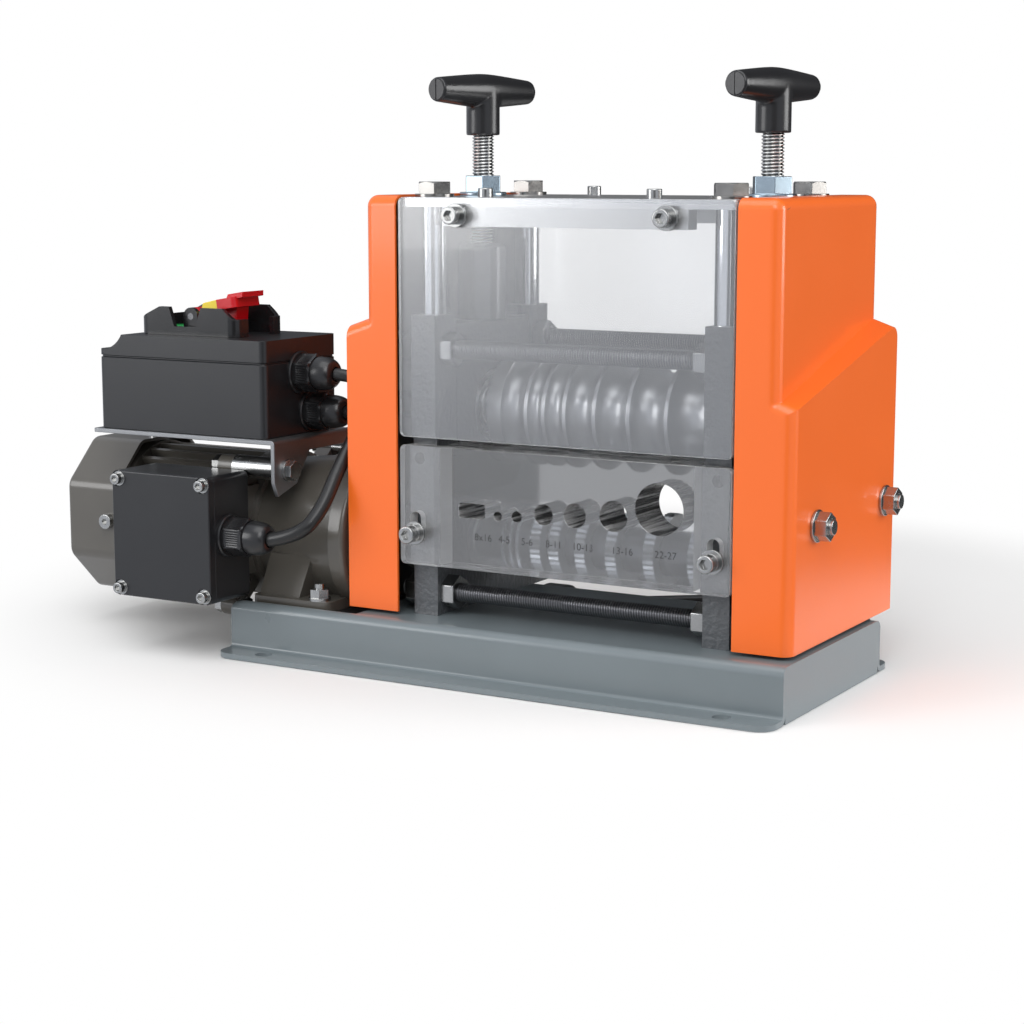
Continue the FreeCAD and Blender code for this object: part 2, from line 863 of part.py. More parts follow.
def column_bolts():
    pieces = []
    for sx in BOTH:
        for sy in BOTH:
            top = (sx * frame_middle, sy * column_y, plate_top)
            pieces.append(hex_bolt(column_bolt_size, column_bolt_length, washer_thick, top, Z_AXIS))
            pieces.append(washer(column_bolt_size, top, Z_AXIS))
    return pieces


def screw_nuts():
    """A flanged hexagon nut pressed into the top plate over each pressure screw."""
    nuts = []
    for side in BOTH:
        top = (side * frame_middle, 0, plate_top)
        spigot = rod(spigot_radius, spigot_depth, top, DOWN)
        seat = rod(nut_seat_radius, nut_seat_height, top, Z_AXIS)
        above = (top[0], top[1], plate_top + nut_seat_height)
        body = hexagon(screw_nut_hex, screw_nut_height, above, Z_AXIS)
        deep = 2 * (spigot_depth + nut_top - plate_top)
        bore = rod(screw_radius + turn_gap, deep, (top[0], 0, nut_top + cut_past), DOWN)
        nuts.append(fuse([spigot, seat, body]).cut(bore))
    return nuts


# Hanger bars under the plate, and the clear guards that hang from them
def hanger_bars():
    bars = []
    for side in BOTH:
        y = (side * hanger_near_y, side * (hanger_near_y + hanger_size))
        bar = block((-hanger_half_x, hanger_half_x), y, (plate_bottom - hanger_size, plate_bottom))
        holes = []
        for sx in BOTH:
            holes.append(rod(plate_screw_size / 2, hanger_size - hanger_screw_spare,
                             (sx * hanger_screw_x, side * hanger_y, plate_bottom), DOWN))
            holes.append(rod(guard_screw_size / 2, hanger_size - guard_screw_spare,
                             (sx * guard_screw_x, side * hanger_far_y, guard_screw_z), Y_AXIS * -side))
        bars.append(bar.cut(holes))
    return bars


def guard(side):
    y = (side * hanger_far_y, side * (hanger_far_y + guard_thick))
    sheet = block((-guard_half_x, guard_half_x), y, (guard_bottom, plate_top))
    corners = [(sx * guard_half_x, 0, z) for sx in BOTH for z in (guard_bottom, plate_top)]
    middle_y = side * (hanger_far_y + guard_thick / 2)
    sheet = round_edges(sheet, Y_AXIS, [(x, middle_y, z) for x, y0, z in corners], guard_corner)
    start_y = side * (hanger_far_y - guard_thick)
    return sheet.cut([rod(guard_screw_size / 2 + hole_gap, 3 * guard_thick,
                          (sx * guard_screw_x, start_y, guard_screw_z), Y_AXIS * side) for sx in BOTH])


def guard_screws():
    """Screws through the guards into the hanger bars, and down through the plate into the same bars."""
    pieces = []
    for side in BOTH:
        out = Y_AXIS * side
        for sx in BOTH:
            seat = (sx * guard_screw_x, side * (hanger_far_y + guard_thick), guard_screw_z)
            lift = washer_thick + guard_spacer
            length = guard_thick + hanger_size - guard_screw_spare
            pieces.append(socket_screw(guard_screw_size, length, lift, seat, out))
            pieces.append(washer(guard_screw_size, seat, out, lift))
            top = (sx * hanger_screw_x, side * hanger_y, plate_top)
            grip = plate_thick + hanger_size - hanger_screw_spare
            pieces.append(socket_screw(plate_screw_size, grip, 0, top, Z_AXIS))
    return pieces


# Guide block: one thick clear block with a feed channel over each cutting ring
def guide_block():
    flange = block((-guard_half_x, guard_half_x), (guide_front, guide_back), (guide_bottom, guide_top))
    corners = [(sx * guard_half_x, 0, z) for sx in BOTH for z in (guide_bottom, guide_top)]
    middle_y = (guide_front + guide_back) / 2
    flange = round_edges(flange, Y_AXIS, [(x, middle_y, z) for x, y, z in corners], guard_corner)
    core = block((-guide_core_half_x, guide_core_half_x), (guide_front, guide_front + guide_core_depth),
                 (guide_bottom, guide_top))
    whole = fuse([flange, core])
    through = 2 * guide_core_depth
    start_y = guide_front - cut_past
    slot_x = (slot_place - slot_width / 2, slot_place + slot_width / 2)
    slot_z = (channel_floor, channel_floor + slot_height)
    slot = block(slot_x, (start_y, start_y + through), slot_z)
    channels = [round_edges(slot, Y_AXIS, [(x, 0, z) for x in slot_x for z in slot_z], slot_corner)]
    for radius, x in zip(hole_radii, hole_places):
        channels.append(rod(radius, through, (x, start_y, channel_floor + radius), Y_AXIS))
    half = guide_slot_width / 2
    for sx in BOTH:
        x = sx * guide_screw_x
        ends = (guide_slot_bottom + half, guide_slot_top - half)
        channels.append(block((x - half, x + half), (start_y, start_y + through), ends))
        channels += [rod(half, through, (x, start_y, z), Y_AXIS) for z in ends]
    return whole.cut(channels)


def guide_screws():
    pieces = []
    for sx in BOTH:
        seat = (sx * guide_screw_x, guide_front - guide_seat_gap, guide_screw_z)
        lift = washer_thick + guide_spacer
        length = guide_seat_gap + guide_flange + guide_screw_grip
        pieces.append(socket_screw(guide_screw_size, length, lift, seat, FRONT))
        pieces.append(washer(guide_screw_size, seat, FRONT))
        pieces.append(tube(guide_spacer_share * guide_screw_size, guide_screw_size / 2, guide_spacer,
                           (seat[0], seat[1] - washer_thick, seat[2]), FRONT))
    return pieces


# Covers: bent boxes over each frame, narrower above a step that climbs from one end to the other
def cover_form(inset):
    """The outer form of a cover, or its inside when it is drawn in by the sheet's thickness."""
    half = cover_half_y - inset
    far = cover_far - inset
    top = cover_top - inset
    low = cover_bottom if inset == 0 else cover_bottom - cut_past
    near = cover_near if inset == 0 else cover_near - cut_past
    radius = max(cover_corner - inset, cover_corner_least)
    lower = block((near, far), (-half, half), (low, top))
    past = 2 * cut_past
    narrow = []
    for y in (-cover_half_y - past, cover_half_y + past):
        share = (y + cover_half_y) / (2 * cover_half_y)
        upper = cover_far_low_end + share * (cover_far_high_end - cover_far_low_end) - inset
        line = step_low + share * (step_high - step_low) - inset
        slope = step_rise / (cover_far - cover_far_low_end)
        outer = cover_far + past
        narrow.append(Part.makePolygon([Vector(upper, y, line + slope * (cover_far - inset - upper)),
                                        Vector(outer, y, line - slope * (outer - cover_far + inset)),
                                        Vector(outer, y, cover_top + past),
                                        Vector(upper, y, cover_top + past),
                                        Vector(upper, y, line + slope * (cover_far - inset - upper))]))
    form = lower.cut(Part.makeLoft(narrow, True, True)).removeSplitter()
    outer_edges = []
    for edge in form.Edges:
        middle = edge.CenterOfMass
        on_open_side = abs(middle.x - near) < same_place or abs(middle.z - low) < same_place
        if not on_open_side:
            outer_edges.append(edge)
    rim = [edge for edge in outer_edges if not climbs(edge, half)]
    return form.makeFillet(radius, rim)


def climbs(edge, half):
    """Whether an edge is one of the two that the step makes across the outer face: long and sloping."""
    return edge.Length > 2 * half - cover_corner and edge.BoundBox.ZLength > cover_corner


def cover(studs, openings):
    shell = cover_form(0).cut(cover_form(cover_sheet))
    start_x = cover_far - cover_hole_depth / 2
    holes = [rod(stud_size / 2 + hole_gap, cover_hole_depth, (start_x, y, z), X_AXIS) for y, z in studs]
    return shell.cut(holes + openings)


def left_cover():
    start_x = cover_far - cover_hole_depth / 2
    opening = rod(drive_opening_radius, cover_hole_depth, (start_x, 0, lower_axis_z), X_AXIS)
    whole = cover(left_studs, [opening])
    whole.rotate(Vector(0, 0, 0), Z_AXIS, FULL_TURN / 2)
    return whole


def studs_with_nuts(studs):
    """Studs from the right frame, each with a spacer sleeve inside the cover, a washer and a nut outside."""
    pieces = []
    inner_face = cover_far - cover_sheet
    length = stud_grip + cover_far - frame_outer + washer_thick + hex_nut_share * stud_size + stud_tail
    for y, z in studs:
        pieces.append(rod(stud_size / 2, length, (frame_outer - stud_grip, y, z), X_AXIS))
        pieces.append(tube(stud_sleeve_radius, stud_size / 2, inner_face - frame_outer, (frame_outer, y, z),
                           X_AXIS))
        pieces.append(washer(stud_size, (cover_far, y, z), X_AXIS))
        pieces.append(hex_nut(stud_size, (cover_far + washer_thick, y, z), X_AXIS))
    return pieces


def cover_studs():
    left = studs_with_nuts(left_studs)
    for piece in left:
        piece.rotate(Vector(0, 0, 0), Z_AXIS, FULL_TURN / 2)
    return studs_with_nuts(right_studs) + left


# Lower roller: knurled cutting rings on a stepped shaft that the gear head drives
def star_disc(radius, tooth_depth, teeth, start, width):
    points = []
    for k in range(2 * teeth):
        angle = math.pi * k / teeth
        r = radius - tooth_depth * (k % 2)
        points.append((r * math.cos(angle), r * math.sin(angle), 0))
    disc = place(face_of(points).extrude(Vector(0, 0, width)), start, X_AXIS)
    return disc.cut(rod(roller_core_radius, 3 * width, (start[0] - width, start[1], start[2]), X_AXIS))


def drive_rings():
    return [star_disc(ring_radius, ring_tooth_depth, ring_teeth, (x - ring_width / 2, 0, lower_axis_z),
                      ring_width) for x in hole_places]


def cutter_discs():
    return [star_disc(ring_radius, cutter_tooth_depth, cutter_teeth,
                      (slot_place + k * cutter_pitch - cutter_thick / 2, 0, lower_axis_z), cutter_thick)
            for k in (-1, 0, 1)]


def stepped_shaft(z, left, right):
    """A shaft that is thick between the frames and turned down to run in the bearings."""
    shoulder = frame_inner - shaft_end_gap
    journal = shaft_radius - running_gap
    return fuse([rod(roller_core_radius, 2 * shoulder, (-shoulder, 0, z), X_AXIS),
                 rod(journal, right - left, (left, 0, z), X_AXIS)])


def drive_coupling():
    """A sleeve over the ends of the two shafts, with a set screw hole over each."""
    middle = (coupling_left + coupling_split) / 2, (coupling_split + coupling_right) / 2
    left, split = (coupling_left, 0, lower_axis_z), (coupling_split, 0, lower_axis_z)
    sleeve = rod(coupling_radius, coupling_right - coupling_left, left, X_AXIS)
    bores = [rod(output_shaft_radius, coupling_split - coupling_left, left, X_AXIS),
             rod(shaft_radius - running_gap, coupling_right - coupling_split, split, X_AXIS)]
    bores += [rod(set_screw_size / 2, 2 * coupling_radius, (x, 0, lower_axis_z), Z_AXIS) for x in middle]
    return sleeve.cut(bores)


def output_shaft():
    return rod(output_shaft_radius, coupling_split - coupling_left + output_shaft_depth,
               (coupling_left - output_shaft_depth, 0, lower_axis_z), X_AXIS)


# Upper roller: a chromed roller with a round groove over each feed channel, between narrow ridges
def ridge_places():
    """Each ridge stands midway between the edges of two neighbouring channels."""
    edges = [(slot_place - slot_width / 2, slot_place + slot_width / 2)]
    edges += [(x - r, x + r) for r, x in zip(hole_radii, hole_places)]
    middles = [(a[1] + b[0]) / 2 for a, b in zip(edges, edges[1:])]
    return [edges[0][0] + ridge_width] + middles + [roller_right - ridge_width / 2]


def grooved_roller():
    ridges = ridge_places()
    outline = Part.Wire(groove_edges(ridges))
    roller = Part.Face(outline).revolve(Vector(0, 0, 0), X_AXIS, FULL_TURN)
    roller.translate(Vector(0, 0, upper_axis_z))
    return roller


def groove_edges(ridges):
    """The roller's half section: its core, its two ends, and an arc between each pair of ridges."""
    edges = []
    here = Vector(roller_left, 0, ridge_radius)
    edges.append(Part.LineSegment(Vector(roller_left, 0, roller_core_radius), here).toShape())
    for a, b in zip(ridges, ridges[1:]):
        start = Vector(a + ridge_width / 2, 0, ridge_radius)
        end = Vector(b - ridge_width / 2, 0, ridge_radius)
        depth = min(groove_share * (end.x - start.x), groove_deepest)
        middle = Vector((start.x + end.x) / 2, 0, ridge_radius - depth)
        edges.append(Part.LineSegment(here, start).toShape())
        edges.append(Part.Arc(start, middle, end).toShape())
        here = end
    corner = Vector(roller_right, 0, ridge_radius)
    edges.append(Part.LineSegment(here, corner).toShape())
    core = Vector(roller_right, 0, roller_core_radius)
    edges.append(Part.LineSegment(corner, core).toShape())
    edges.append(Part.LineSegment(core, Vector(roller_left, 0, roller_core_radius)).toShape())
    return edges


# Bearing blocks that slide between the posts, and the cups that hold the pressure screws
def bearing_block():
    half = post_inner - guide_gap
    body = block((frame_inner, frame_outer), (-half, half), (block_bottom, block_top))
    lower_corners = [(0, side * half, block_bottom) for side in BOTH]
    body = round_edges(body, X_AXIS, lower_corners, frame_fillet)
    groove_half = tongue_thick / 2 + guide_gap
    floor = post_inner - tongue_reach - guide_gap
    grooves = [block((frame_middle - groove_half, frame_middle + groove_half),
                     (side * floor, side * (half + cut_past)),
                     (block_bottom - cut_past, block_top + cut_past)) for side in BOTH]
    bores = [rod(bearing_radius, bearing_width, (frame_inner, 0, upper_axis_z), X_AXIS),
             rod(bearing_radius - bearing_lip, 3 * frame_thick, (frame_inner, 0, upper_axis_z), X_AXIS)]
    return body.cut(grooves + bores)


def screw_cups():
    """A cup on each block that holds the collar of the pressure screw and lets it turn."""
    room = collar_height + 2 * turn_gap
    low = collar_from_block - turn_gap
    profile = [(0, 0), (cup_radius, 0), (cup_radius, cup_height - cup_chamfer),
               (cup_radius - cup_chamfer, cup_height),
               (screw_radius + turn_gap, cup_height), (screw_radius + turn_gap, low + room),
               (collar_radius + turn_gap, low + room), (collar_radius + turn_gap, low), (0, low)]
    return [turned(profile, (side * frame_middle, 0, block_top), Z_AXIS) for side in BOTH]


# Pressure screws and their handles
def pressure_screw(side):
    bottom = block_top + collar_from_block
    tip = handle_bottom + handle_socket
    length = tip - bottom
    profile = [(0, 0), (collar_radius, 0), (collar_radius, collar_height), (screw_radius, collar_height),
               (screw_radius, length - screw_end_chamfer), (screw_radius - screw_end_chamfer, length),
               (0, length)]
    return turned(profile, (side * frame_middle, 0, bottom), Z_AXIS)


def t_handle(side):
    angle = bar_angles[0] if side < 0 else bar_angles[1]
    middle = (side * frame_middle, 0, bar_height)
    hub = rod(handle_hub_radius, bar_height - handle_bottom, (middle[0], 0, handle_bottom), Z_AXIS)
    half = bar_length / 2
    waist = bar_waist_share * half
    tip = bar_end_radius
    cut = bar_end_chamfer
    bar = turned([(0, -half), (tip - cut, -half), (tip, -half + cut), (bar_mid_radius, -waist),
                  (bar_mid_radius, waist), (tip, half - cut), (tip - cut, half), (0, half)],
                 (0, 0, 0), Z_AXIS)
    slot = block((-bar_slot_width / 2, bar_slot_width / 2), (-2 * tip, 2 * tip),
                 (half - bar_slot_depth, half + cut_past))
    bar = bar.cut([slot, slot.mirror(Vector(0, 0, 0), Z_AXIS)])
    bar.rotate(Vector(0, 0, 0), Y_AXIS, FULL_TURN / 4)
    bar.rotate(Vector(0, 0, 0), Z_AXIS, angle)
    bar.translate(Vector(*middle))
    bore = rod(screw_radius, handle_socket, (middle[0], 0, handle_bottom), Z_AXIS)
    return fuse([hub, bar]).cut(bore)


# Gear head: a cast cone and drum over a foot, with the output boss beside the cover
def gear_head():
    profile = [(0, 0), (gear_small_radius, 0), (gear_cone_radius, gear_drum_left - gear_left),
               (gear_drum_radius, gear_drum_left - gear_left),
               (gear_drum_radius, gear_face - gear_left), (0, gear_face - gear_left)]
    case = turned(profile, (gear_left, motor_y, motor_z), X_AXIS)
    rims = [e for e in case.Edges if isinstance(e.Curve, Part.Circle)
            and e.Curve.Radius > gear_small_radius + same_place
            and e.Curve.Center.x > gear_drum_left + same_place]
    case = case.makeFillet(gear_rim_round, rims)
    under = block((gear_left - cut_past, gear_right + cut_past), (-base_width, base_width),
                  (-base_height, shelf_top))
    boss = rod(output_boss_radius, output_boss_length, (gear_face, head_y, lower_axis_z), X_AXIS)
    sections = []
    for reach, spread, z in ((foot_block_bottom, foot_block_spread, shelf_top),
                             (foot_block_top, foot_block_top_spread, shelf_top + foot_block_height)):
        x0, x1 = gear_left + reach[0], gear_left + reach[1]
        y0, y1 = motor_y - spread, motor_y + spread
        corners = [Vector(x0, y0, z), Vector(x1, y0, z), Vector(x1, y1, z), Vector(x0, y1, z)]
        sections.append(Part.makePolygon(corners + corners[:1]))
    foot_block = Part.makeLoft(sections, True, True)
    pad_y = (motor_y - pad_spread, motor_y + pad_spread)
    pad = block((pad_left, pad_right), pad_y, (shelf_top, shelf_top + pad_thick))
    pad = round_edges(pad, Z_AXIS, [(x, y, 0) for x in (pad_left, pad_right) for y in pad_y], pad_corner)
    case = fuse([case.cut(under), boss, foot_block, pad])
    holes = [rod(output_shaft_radius + turn_gap, output_shaft_depth + output_bore_spare,
                 (gear_right + cut_past, head_y, lower_axis_z), LEFT),
             rod(rotor_shaft_radius + turn_gap, rotor_shaft_in_gear + rotor_bore_spare,
                 (gear_left, motor_y, motor_z), X_AXIS)]
    bolt_hole = motor_bolt_size / 2 + hole_gap
    holes += [rod(bolt_hole, 2 * pad_thick, (motor_bolt_x, y, shelf_top - cut_past), Z_AXIS)
              for y in motor_bolt_ys]
    return case.cut(holes)


# Motor: a finned housing between two end bells, with an ear at each corner of the right one
def ear_places():
    return [(motor_y + sy * ear_spread, motor_z + sz * ear_rise) for sy in BOTH for sz in BOTH]


def motor_body():
    middle = (motor_y, motor_z)
    left_bell = body_left - bell_length
    core = rod(body_core_radius, right_bell - body_left, (body_left, *middle), X_AXIS)
    bells = [rod(bell_radius, end_bell_length, (right_bell, *middle), X_AXIS),
             rod(bell_radius, bell_length, (left_bell, *middle), X_AXIS)]
    fins = []
    for k in range(fin_count):
        fin = block((body_left, right_bell), (motor_y - fin_thick / 2, motor_y + fin_thick / 2),
                    (motor_z + bore_radius + fin_foot, motor_z + fin_radius))
        fin.rotate(Vector(0, *middle), X_AXIS, FULL_TURN * (k + 1 / 2) / fin_count)
        fins.append(fin)
    ears = []
    for y, z in ear_places():
        ears.append(rod(ear_radius, ear_thick, (right_bell, y, z), X_AXIS))
        reach = math.hypot(ear_spread, ear_rise)
        web = block((right_bell, right_bell + ear_thick), (motor_y - ear_web / 2, motor_y + ear_web / 2),
                    (motor_z + bore_radius + fin_foot, motor_z + reach))
        web.rotate(Vector(0, *middle), X_AXIS, math.degrees(math.atan2(motor_y - y, z - motor_z)))
        ears.append(web)
    left, right, low, high = junction_pad_margins
    pad = block((junction_x[0] + left, junction_x[1] - right),
                (junction_y[1], motor_y - bore_radius - joined_in),
                (junction_z[0] + low, junction_z[1] - high))
    body = fuse([core] + bells + fins + ears + [pad])
    room = rod(bore_radius, right_bell - left_bell - bell_wall, (left_bell + bell_wall, *middle), X_AXIS)
    shaft_way = rod(rotor_shaft_radius + running_gap, 2 * (gear_left - left_bell),
                    (left_bell - cut_past, *middle), X_AXIS)
    holes = [rod(ear_bolt_size / 2 + hole_gap, 3 * ear_thick, (right_bell - cut_past, y, z), X_AXIS)
             for y, z in ear_places()]
    holes += [rod(cowl_screw_size / 2, cowl_screw_grip, start, direction)
              for start, direction in cowl_screw_seats(bell_radius)]
    return body.cut([room, shaft_way] + holes)


def motor_stator():
    return tube(bore_radius, stator_inner, stator_length,
                (rotor_middle - stator_length / 2, motor_y, motor_z), X_AXIS)


def motor_rotor():
    start = (rotor_middle - stator_length / 2, motor_y, motor_z)
    fan_left = body_left - bell_length - fan_gap - fan_width
    length = gear_left + rotor_shaft_in_gear - fan_left
    return fuse([rod(stator_inner - rotor_gap, stator_length, start, X_AXIS),
                 rod(rotor_shaft_radius, length, (fan_left, motor_y, motor_z), X_AXIS)])


def cooling_fan():
    left = body_left - bell_length - fan_gap - fan_width
    hub = rod(fan_hub_radius, fan_width, (left, motor_y, motor_z), X_AXIS)
    disc = rod(fan_radius - fan_disc_inset, fan_disc_thick,
               (left + fan_width - fan_disc_thick, motor_y, motor_z), X_AXIS)
    blades = []
    for k in range(fan_blades):
        blade = block((left, left + fan_width),
                      (motor_y - fan_blade_thick / 2, motor_y + fan_blade_thick / 2),
                      (motor_z + fan_hub_radius - blade_foot, motor_z + fan_radius))
        blade.rotate(Vector(0, motor_y, motor_z), X_AXIS, FULL_TURN * k / fan_blades)
        blades.append(blade)
    bore = rod(rotor_shaft_radius, 3 * fan_width, (left - fan_width, motor_y, motor_z), X_AXIS)
    return fuse([hub, disc] + blades).cut(bore)


def octagon(x0, x1, inset):
    """The cowl's eight-sided form with rounded corners, drawn in by an inset."""
    half = cowl_across / 2 - inset
    flat = cowl_flat / 2 - inset * math.tan(math.pi / 8)
    outline = [(-flat, -half), (flat, -half), (half, -flat), (half, flat),
               (flat, half), (-flat, half), (-half, flat), (-half, -flat)]
    form = prism_x([(motor_y + y, motor_z + z) for y, z in outline], x0, x1)
    corners = [(0, motor_y + y, motor_z + z) for y, z in outline]
    return round_edges(form, X_AXIS, corners, cowl_corner - inset)


def cowl_screw_seats(distance):
    """Where the cowl's side screws stand, at a distance from the motor's axis."""
    return [((cowl_screw_x, motor_y - distance, motor_z), Y_AXIS),
            ((cowl_screw_x, motor_y + distance, motor_z), FRONT),
            ((cowl_screw_x, motor_y, motor_z + distance), DOWN),
            ((cowl_screw_x, motor_y, motor_z - distance), Z_AXIS)]


def fan_cowl():
    outer = octagon(cowl_left, cowl_right, 0)
    rim = [e for e in outer.Edges if abs(e.CenterOfMass.x - cowl_left) < same_place]
    inner = octagon(cowl_left + cowl_sheet, cowl_right + cut_past, cowl_sheet)
    shell = outer.makeFillet(cowl_rim, rim).cut(inner)
    vents = []
    count = int(vent_reach // vent_pitch)
    for k in range(-count, count + 1):
        y = k * vent_pitch
        high = math.sqrt(vent_reach ** 2 - y ** 2) + vent_width / 2
        slot = block((cowl_left - cut_past, cowl_left + cowl_sheet + cut_past),
                     (motor_y + y - vent_width / 2, motor_y + y + vent_width / 2),
                     (motor_z - high, motor_z + high))
        vents.append(slot)
    bar = block((cowl_left - 2 * cut_past, cowl_left + cowl_sheet + 2 * cut_past),
                (motor_y - vent_reach, motor_y + vent_reach),
                (motor_z - vent_width / 2, motor_z + vent_width / 2))
    vents = [slot.cut(bar) for slot in vents]
    holes = [rod(cowl_screw_size / 2 + hole_gap, cowl_across / 4, start, direction)
             for start, direction in cowl_screw_seats(cowl_across / 2 + cut_past)]
    return shell.cut(vents + holes)


# Junction box: a plain box on the motor's side, with a lid held by four screws
def box_corners(x, z, inset):
    return [(a, b) for a in (x[0] + inset, x[1] - inset) for b in (z[0] + inset, z[1] - inset)]


def junction_box():
    y = (junction_y[0] + junction_lid, junction_y[1])
    body = block(junction_x, y, junction_z)
    middle_y = (y[0] + y[1]) / 2
    corners = [(a, middle_y, b) for a, b in box_corners(junction_x, junction_z, 0)]
    body = round_edges(body, Y_AXIS, corners, junction_corner)
    return body.cut([rod(lid_screw_size / 2, lid_screw_grip, (a, y[0], b), Y_AXIS)
                     for a, b in box_corners(junction_x, junction_z, junction_screw_in)])


def junction_cover():
    y = (junction_y[0], junction_y[0] + junction_lid)
    lid = block(junction_x, y, junction_z)
    corners = [(a, (y[0] + y[1]) / 2, b) for a, b in box_corners(junction_x, junction_z, 0)]
    lid = round_edges(lid, Y_AXIS, corners, junction_corner)
    face_edges = [e for e in lid.Edges if abs(e.CenterOfMass.y - y[0]) < same_place]
    lid = lid.makeFillet(junction_lid_round, face_edges)
    seats = box_corners(junction_x, junction_z, junction_screw_in)
    holes = [rod(lid_screw_size / 2 + hole_gap, 2 * junction_lid, (a, y[0] - cut_past, b), Y_AXIS)
             for a, b in seats]
    dish_radius = lid_screw_dish_share * lid_screw_size
    dishes = [rod(dish_radius, lid_screw_dish, (a, y[0], b), Y_AXIS) for a, b in seats]
    return lid.cut(holes + dishes)


def case_screws():
    """Socket screws with washers in the junction lid's corners, and the cowl's side screws."""
    pieces = []
    for a, b in box_corners(junction_x, junction_z, junction_screw_in):
        seat = (a, junction_y[0] + lid_screw_dish, b)
        length = junction_lid - lid_screw_dish + lid_screw_grip
        pieces.append(socket_screw(lid_screw_size, length, washer_thin, seat, FRONT))
        pieces.append(washer(lid_screw_size, seat, FRONT, washer_thin))
    for start, inward in cowl_screw_seats(cowl_across / 2):
        length = cowl_across / 2 - bell_radius + cowl_screw_grip
        head_radius = cowl_screw_head_share * cowl_screw_size
        pieces.append(socket_screw(cowl_screw_size, length, 0, start, inward * -1, head_radius))
    return pieces


# Cable glands: a boss, a hexagon nut and a domed cap
def gland(start, boss_length, nut_length, dome_length):
    x, y, z = start
    boss = rod(gland_boss_radius, boss_length, start, X_AXIS)
    nut = hexagon(gland_hex, nut_length, (x + boss_length, y, z), X_AXIS)
    dome = rod(gland_dome_radius, dome_length, (x + boss_length + nut_length, y, z), X_AXIS)
    end = x + boss_length + nut_length + dome_length
    rim = [e for e in dome.Edges if abs(e.CenterOfMass.x - end) < same_place
           and e.Length > round_edge_radii * gland_dome_radius]
    dome = dome.makeFillet(gland_dome_round, rim)
    return fuse([boss, nut, dome])


def cable_glands():
    switch = (switch_gland_boss, switch_gland_nut_length, switch_gland_dome_length)
    return [gland((junction_x[1], junction_gland_y, junction_gland_z), gland_boss_length,
                  gland_nut_length, gland_dome_length),
            gland((box_x[1], mains_gland_y, mains_gland_z), *switch),
            gland((box_x[1], motor_gland_y, motor_gland_z), *switch)]


# Bracket that carries the switch box from the motor's corner ears
def switch_bracket():
    top = box_bottom
    under = top - bracket_sheet
    y = (box_y[0] - bracket_margin, box_y[1] + bracket_margin)
    right = bracket_x[1]
    left_face = right - bracket_sheet
    shelf = block(bracket_x, y, (under, top))
    front_y, back_y = motor_y - ear_spread, motor_y + ear_spread
    level = motor_z + ear_rise
    bay = gear_drum_radius + motor_z + bracket_bay_gap
    bay_in = bracket_bay_share * bolt_margin
    outline = [(y[0], top), (y[0], top - bracket_flange_drop),
               (y[0] + bracket_tip_in, top - bracket_tip_drop),
               (front_y + bolt_margin, level - bolt_margin), (front_y + bay_in, bay),
               (back_y - bay_in, bay), (back_y - bolt_margin, level - bolt_margin),
               (back_y + bolt_margin, level - bolt_margin), (back_y + bolt_margin, top)]
    flange = prism_x(outline, left_face, right)
    bent = fuse([shelf, flange])
    bent = round_edges(bent, Y_AXIS, [(right, (y[0] + y[1]) / 2, top)], bracket_sheet)
    start_x = left_face - bracket_sheet
    holes = [rod(ear_bolt_size / 2 + hole_gap, 3 * bracket_sheet, (start_x, ear_y, level), X_AXIS)
             for ear_y in (front_y, back_y)]
    return bent.cut(holes)


def bracket_spacers():
    """Round standoffs between the motor's two upper ears and the bracket's flange, with bolts and nuts."""
    pieces = []
    ear_face = right_bell + ear_thick
    flange_face = bracket_x[1]
    length = flange_face - bracket_sheet - ear_face
    level = motor_z + ear_rise
    for y, z in ear_places():
        nut_seat = (right_bell, y, z)
        pieces.append(hex_nut(ear_bolt_size, nut_seat, LEFT))
        stud_end = ear_face + ear_stud_share * ear_bolt_size
        pieces.append(rod(ear_bolt_size / 2, stud_end - right_bell + ear_bolt_size,
                          (right_bell - ear_bolt_size, y, z), X_AXIS))
        if z == level:
            pieces.append(tube(standoff_radius, ear_bolt_size / 2, length, (ear_face, y, z), X_AXIS))
            seat = (flange_face, y, z)
            pieces.append(washer(ear_bolt_size, seat, X_AXIS))
            grip = bracket_sheet + 2 * ear_bolt_size
            pieces.append(hex_bolt(ear_bolt_size, grip, washer_thick, seat, X_AXIS))
        else:
            pieces.append(hex_nut(ear_bolt_size, (ear_face, y, z), X_AXIS))
    return pieces


# Switch box: its body, its lid with a hollow left shoulder, and the collar round the controls
def box_outline(z, inset=0.0):
    x = (box_x[0] + inset, box_x[1] - inset)
    y = (box_y[0] + inset, box_y[1] - inset)
    corners = [(a, b, (z[0] + z[1]) / 2) for a in x for b in y]
    return round_edges(block(x, y, z), Z_AXIS, corners, box_corner - inset)


def switch_box():
    return fuse([box_outline((box_bottom, box_split - seam_height)),
                 box_outline((box_split - seam_height, box_split), seam_inset)])


def button_wells():
    return [rod(button_radius + button_gap, button_depth, (x, control_y, box_top), DOWN)
            for x in (start_button_x, stop_button_x)]


def switch_lid():
    left, right = box_x
    dip = Vector(left + shoulder_dip_along * shoulder_length, 0,
                 shoulder_bottom + shoulder_dip_up * (box_top - shoulder_bottom))
    points = [(left, box_split), (right, box_split), (right, box_top), (left + shoulder_length, box_top)]
    corners = [Vector(x, 0, z) for x, z in points]
    low = Vector(left, 0, shoulder_bottom)
    edges = [Part.LineSegment(a, b).toShape() for a, b in zip(corners, corners[1:])]
    edges.append(Part.Arc(corners[-1], dip, low).toShape())
    edges.append(Part.LineSegment(low, corners[0]).toShape())
    section = Part.Face(Part.Wire(edges)).extrude(Vector(0, box_y[1] - box_y[0] + 2 * cut_past, 0))
    section.translate(Vector(0, box_y[0] - cut_past, 0))
    lid = section.common(box_outline((box_split, box_top)))
    return lid.cut(button_wells())


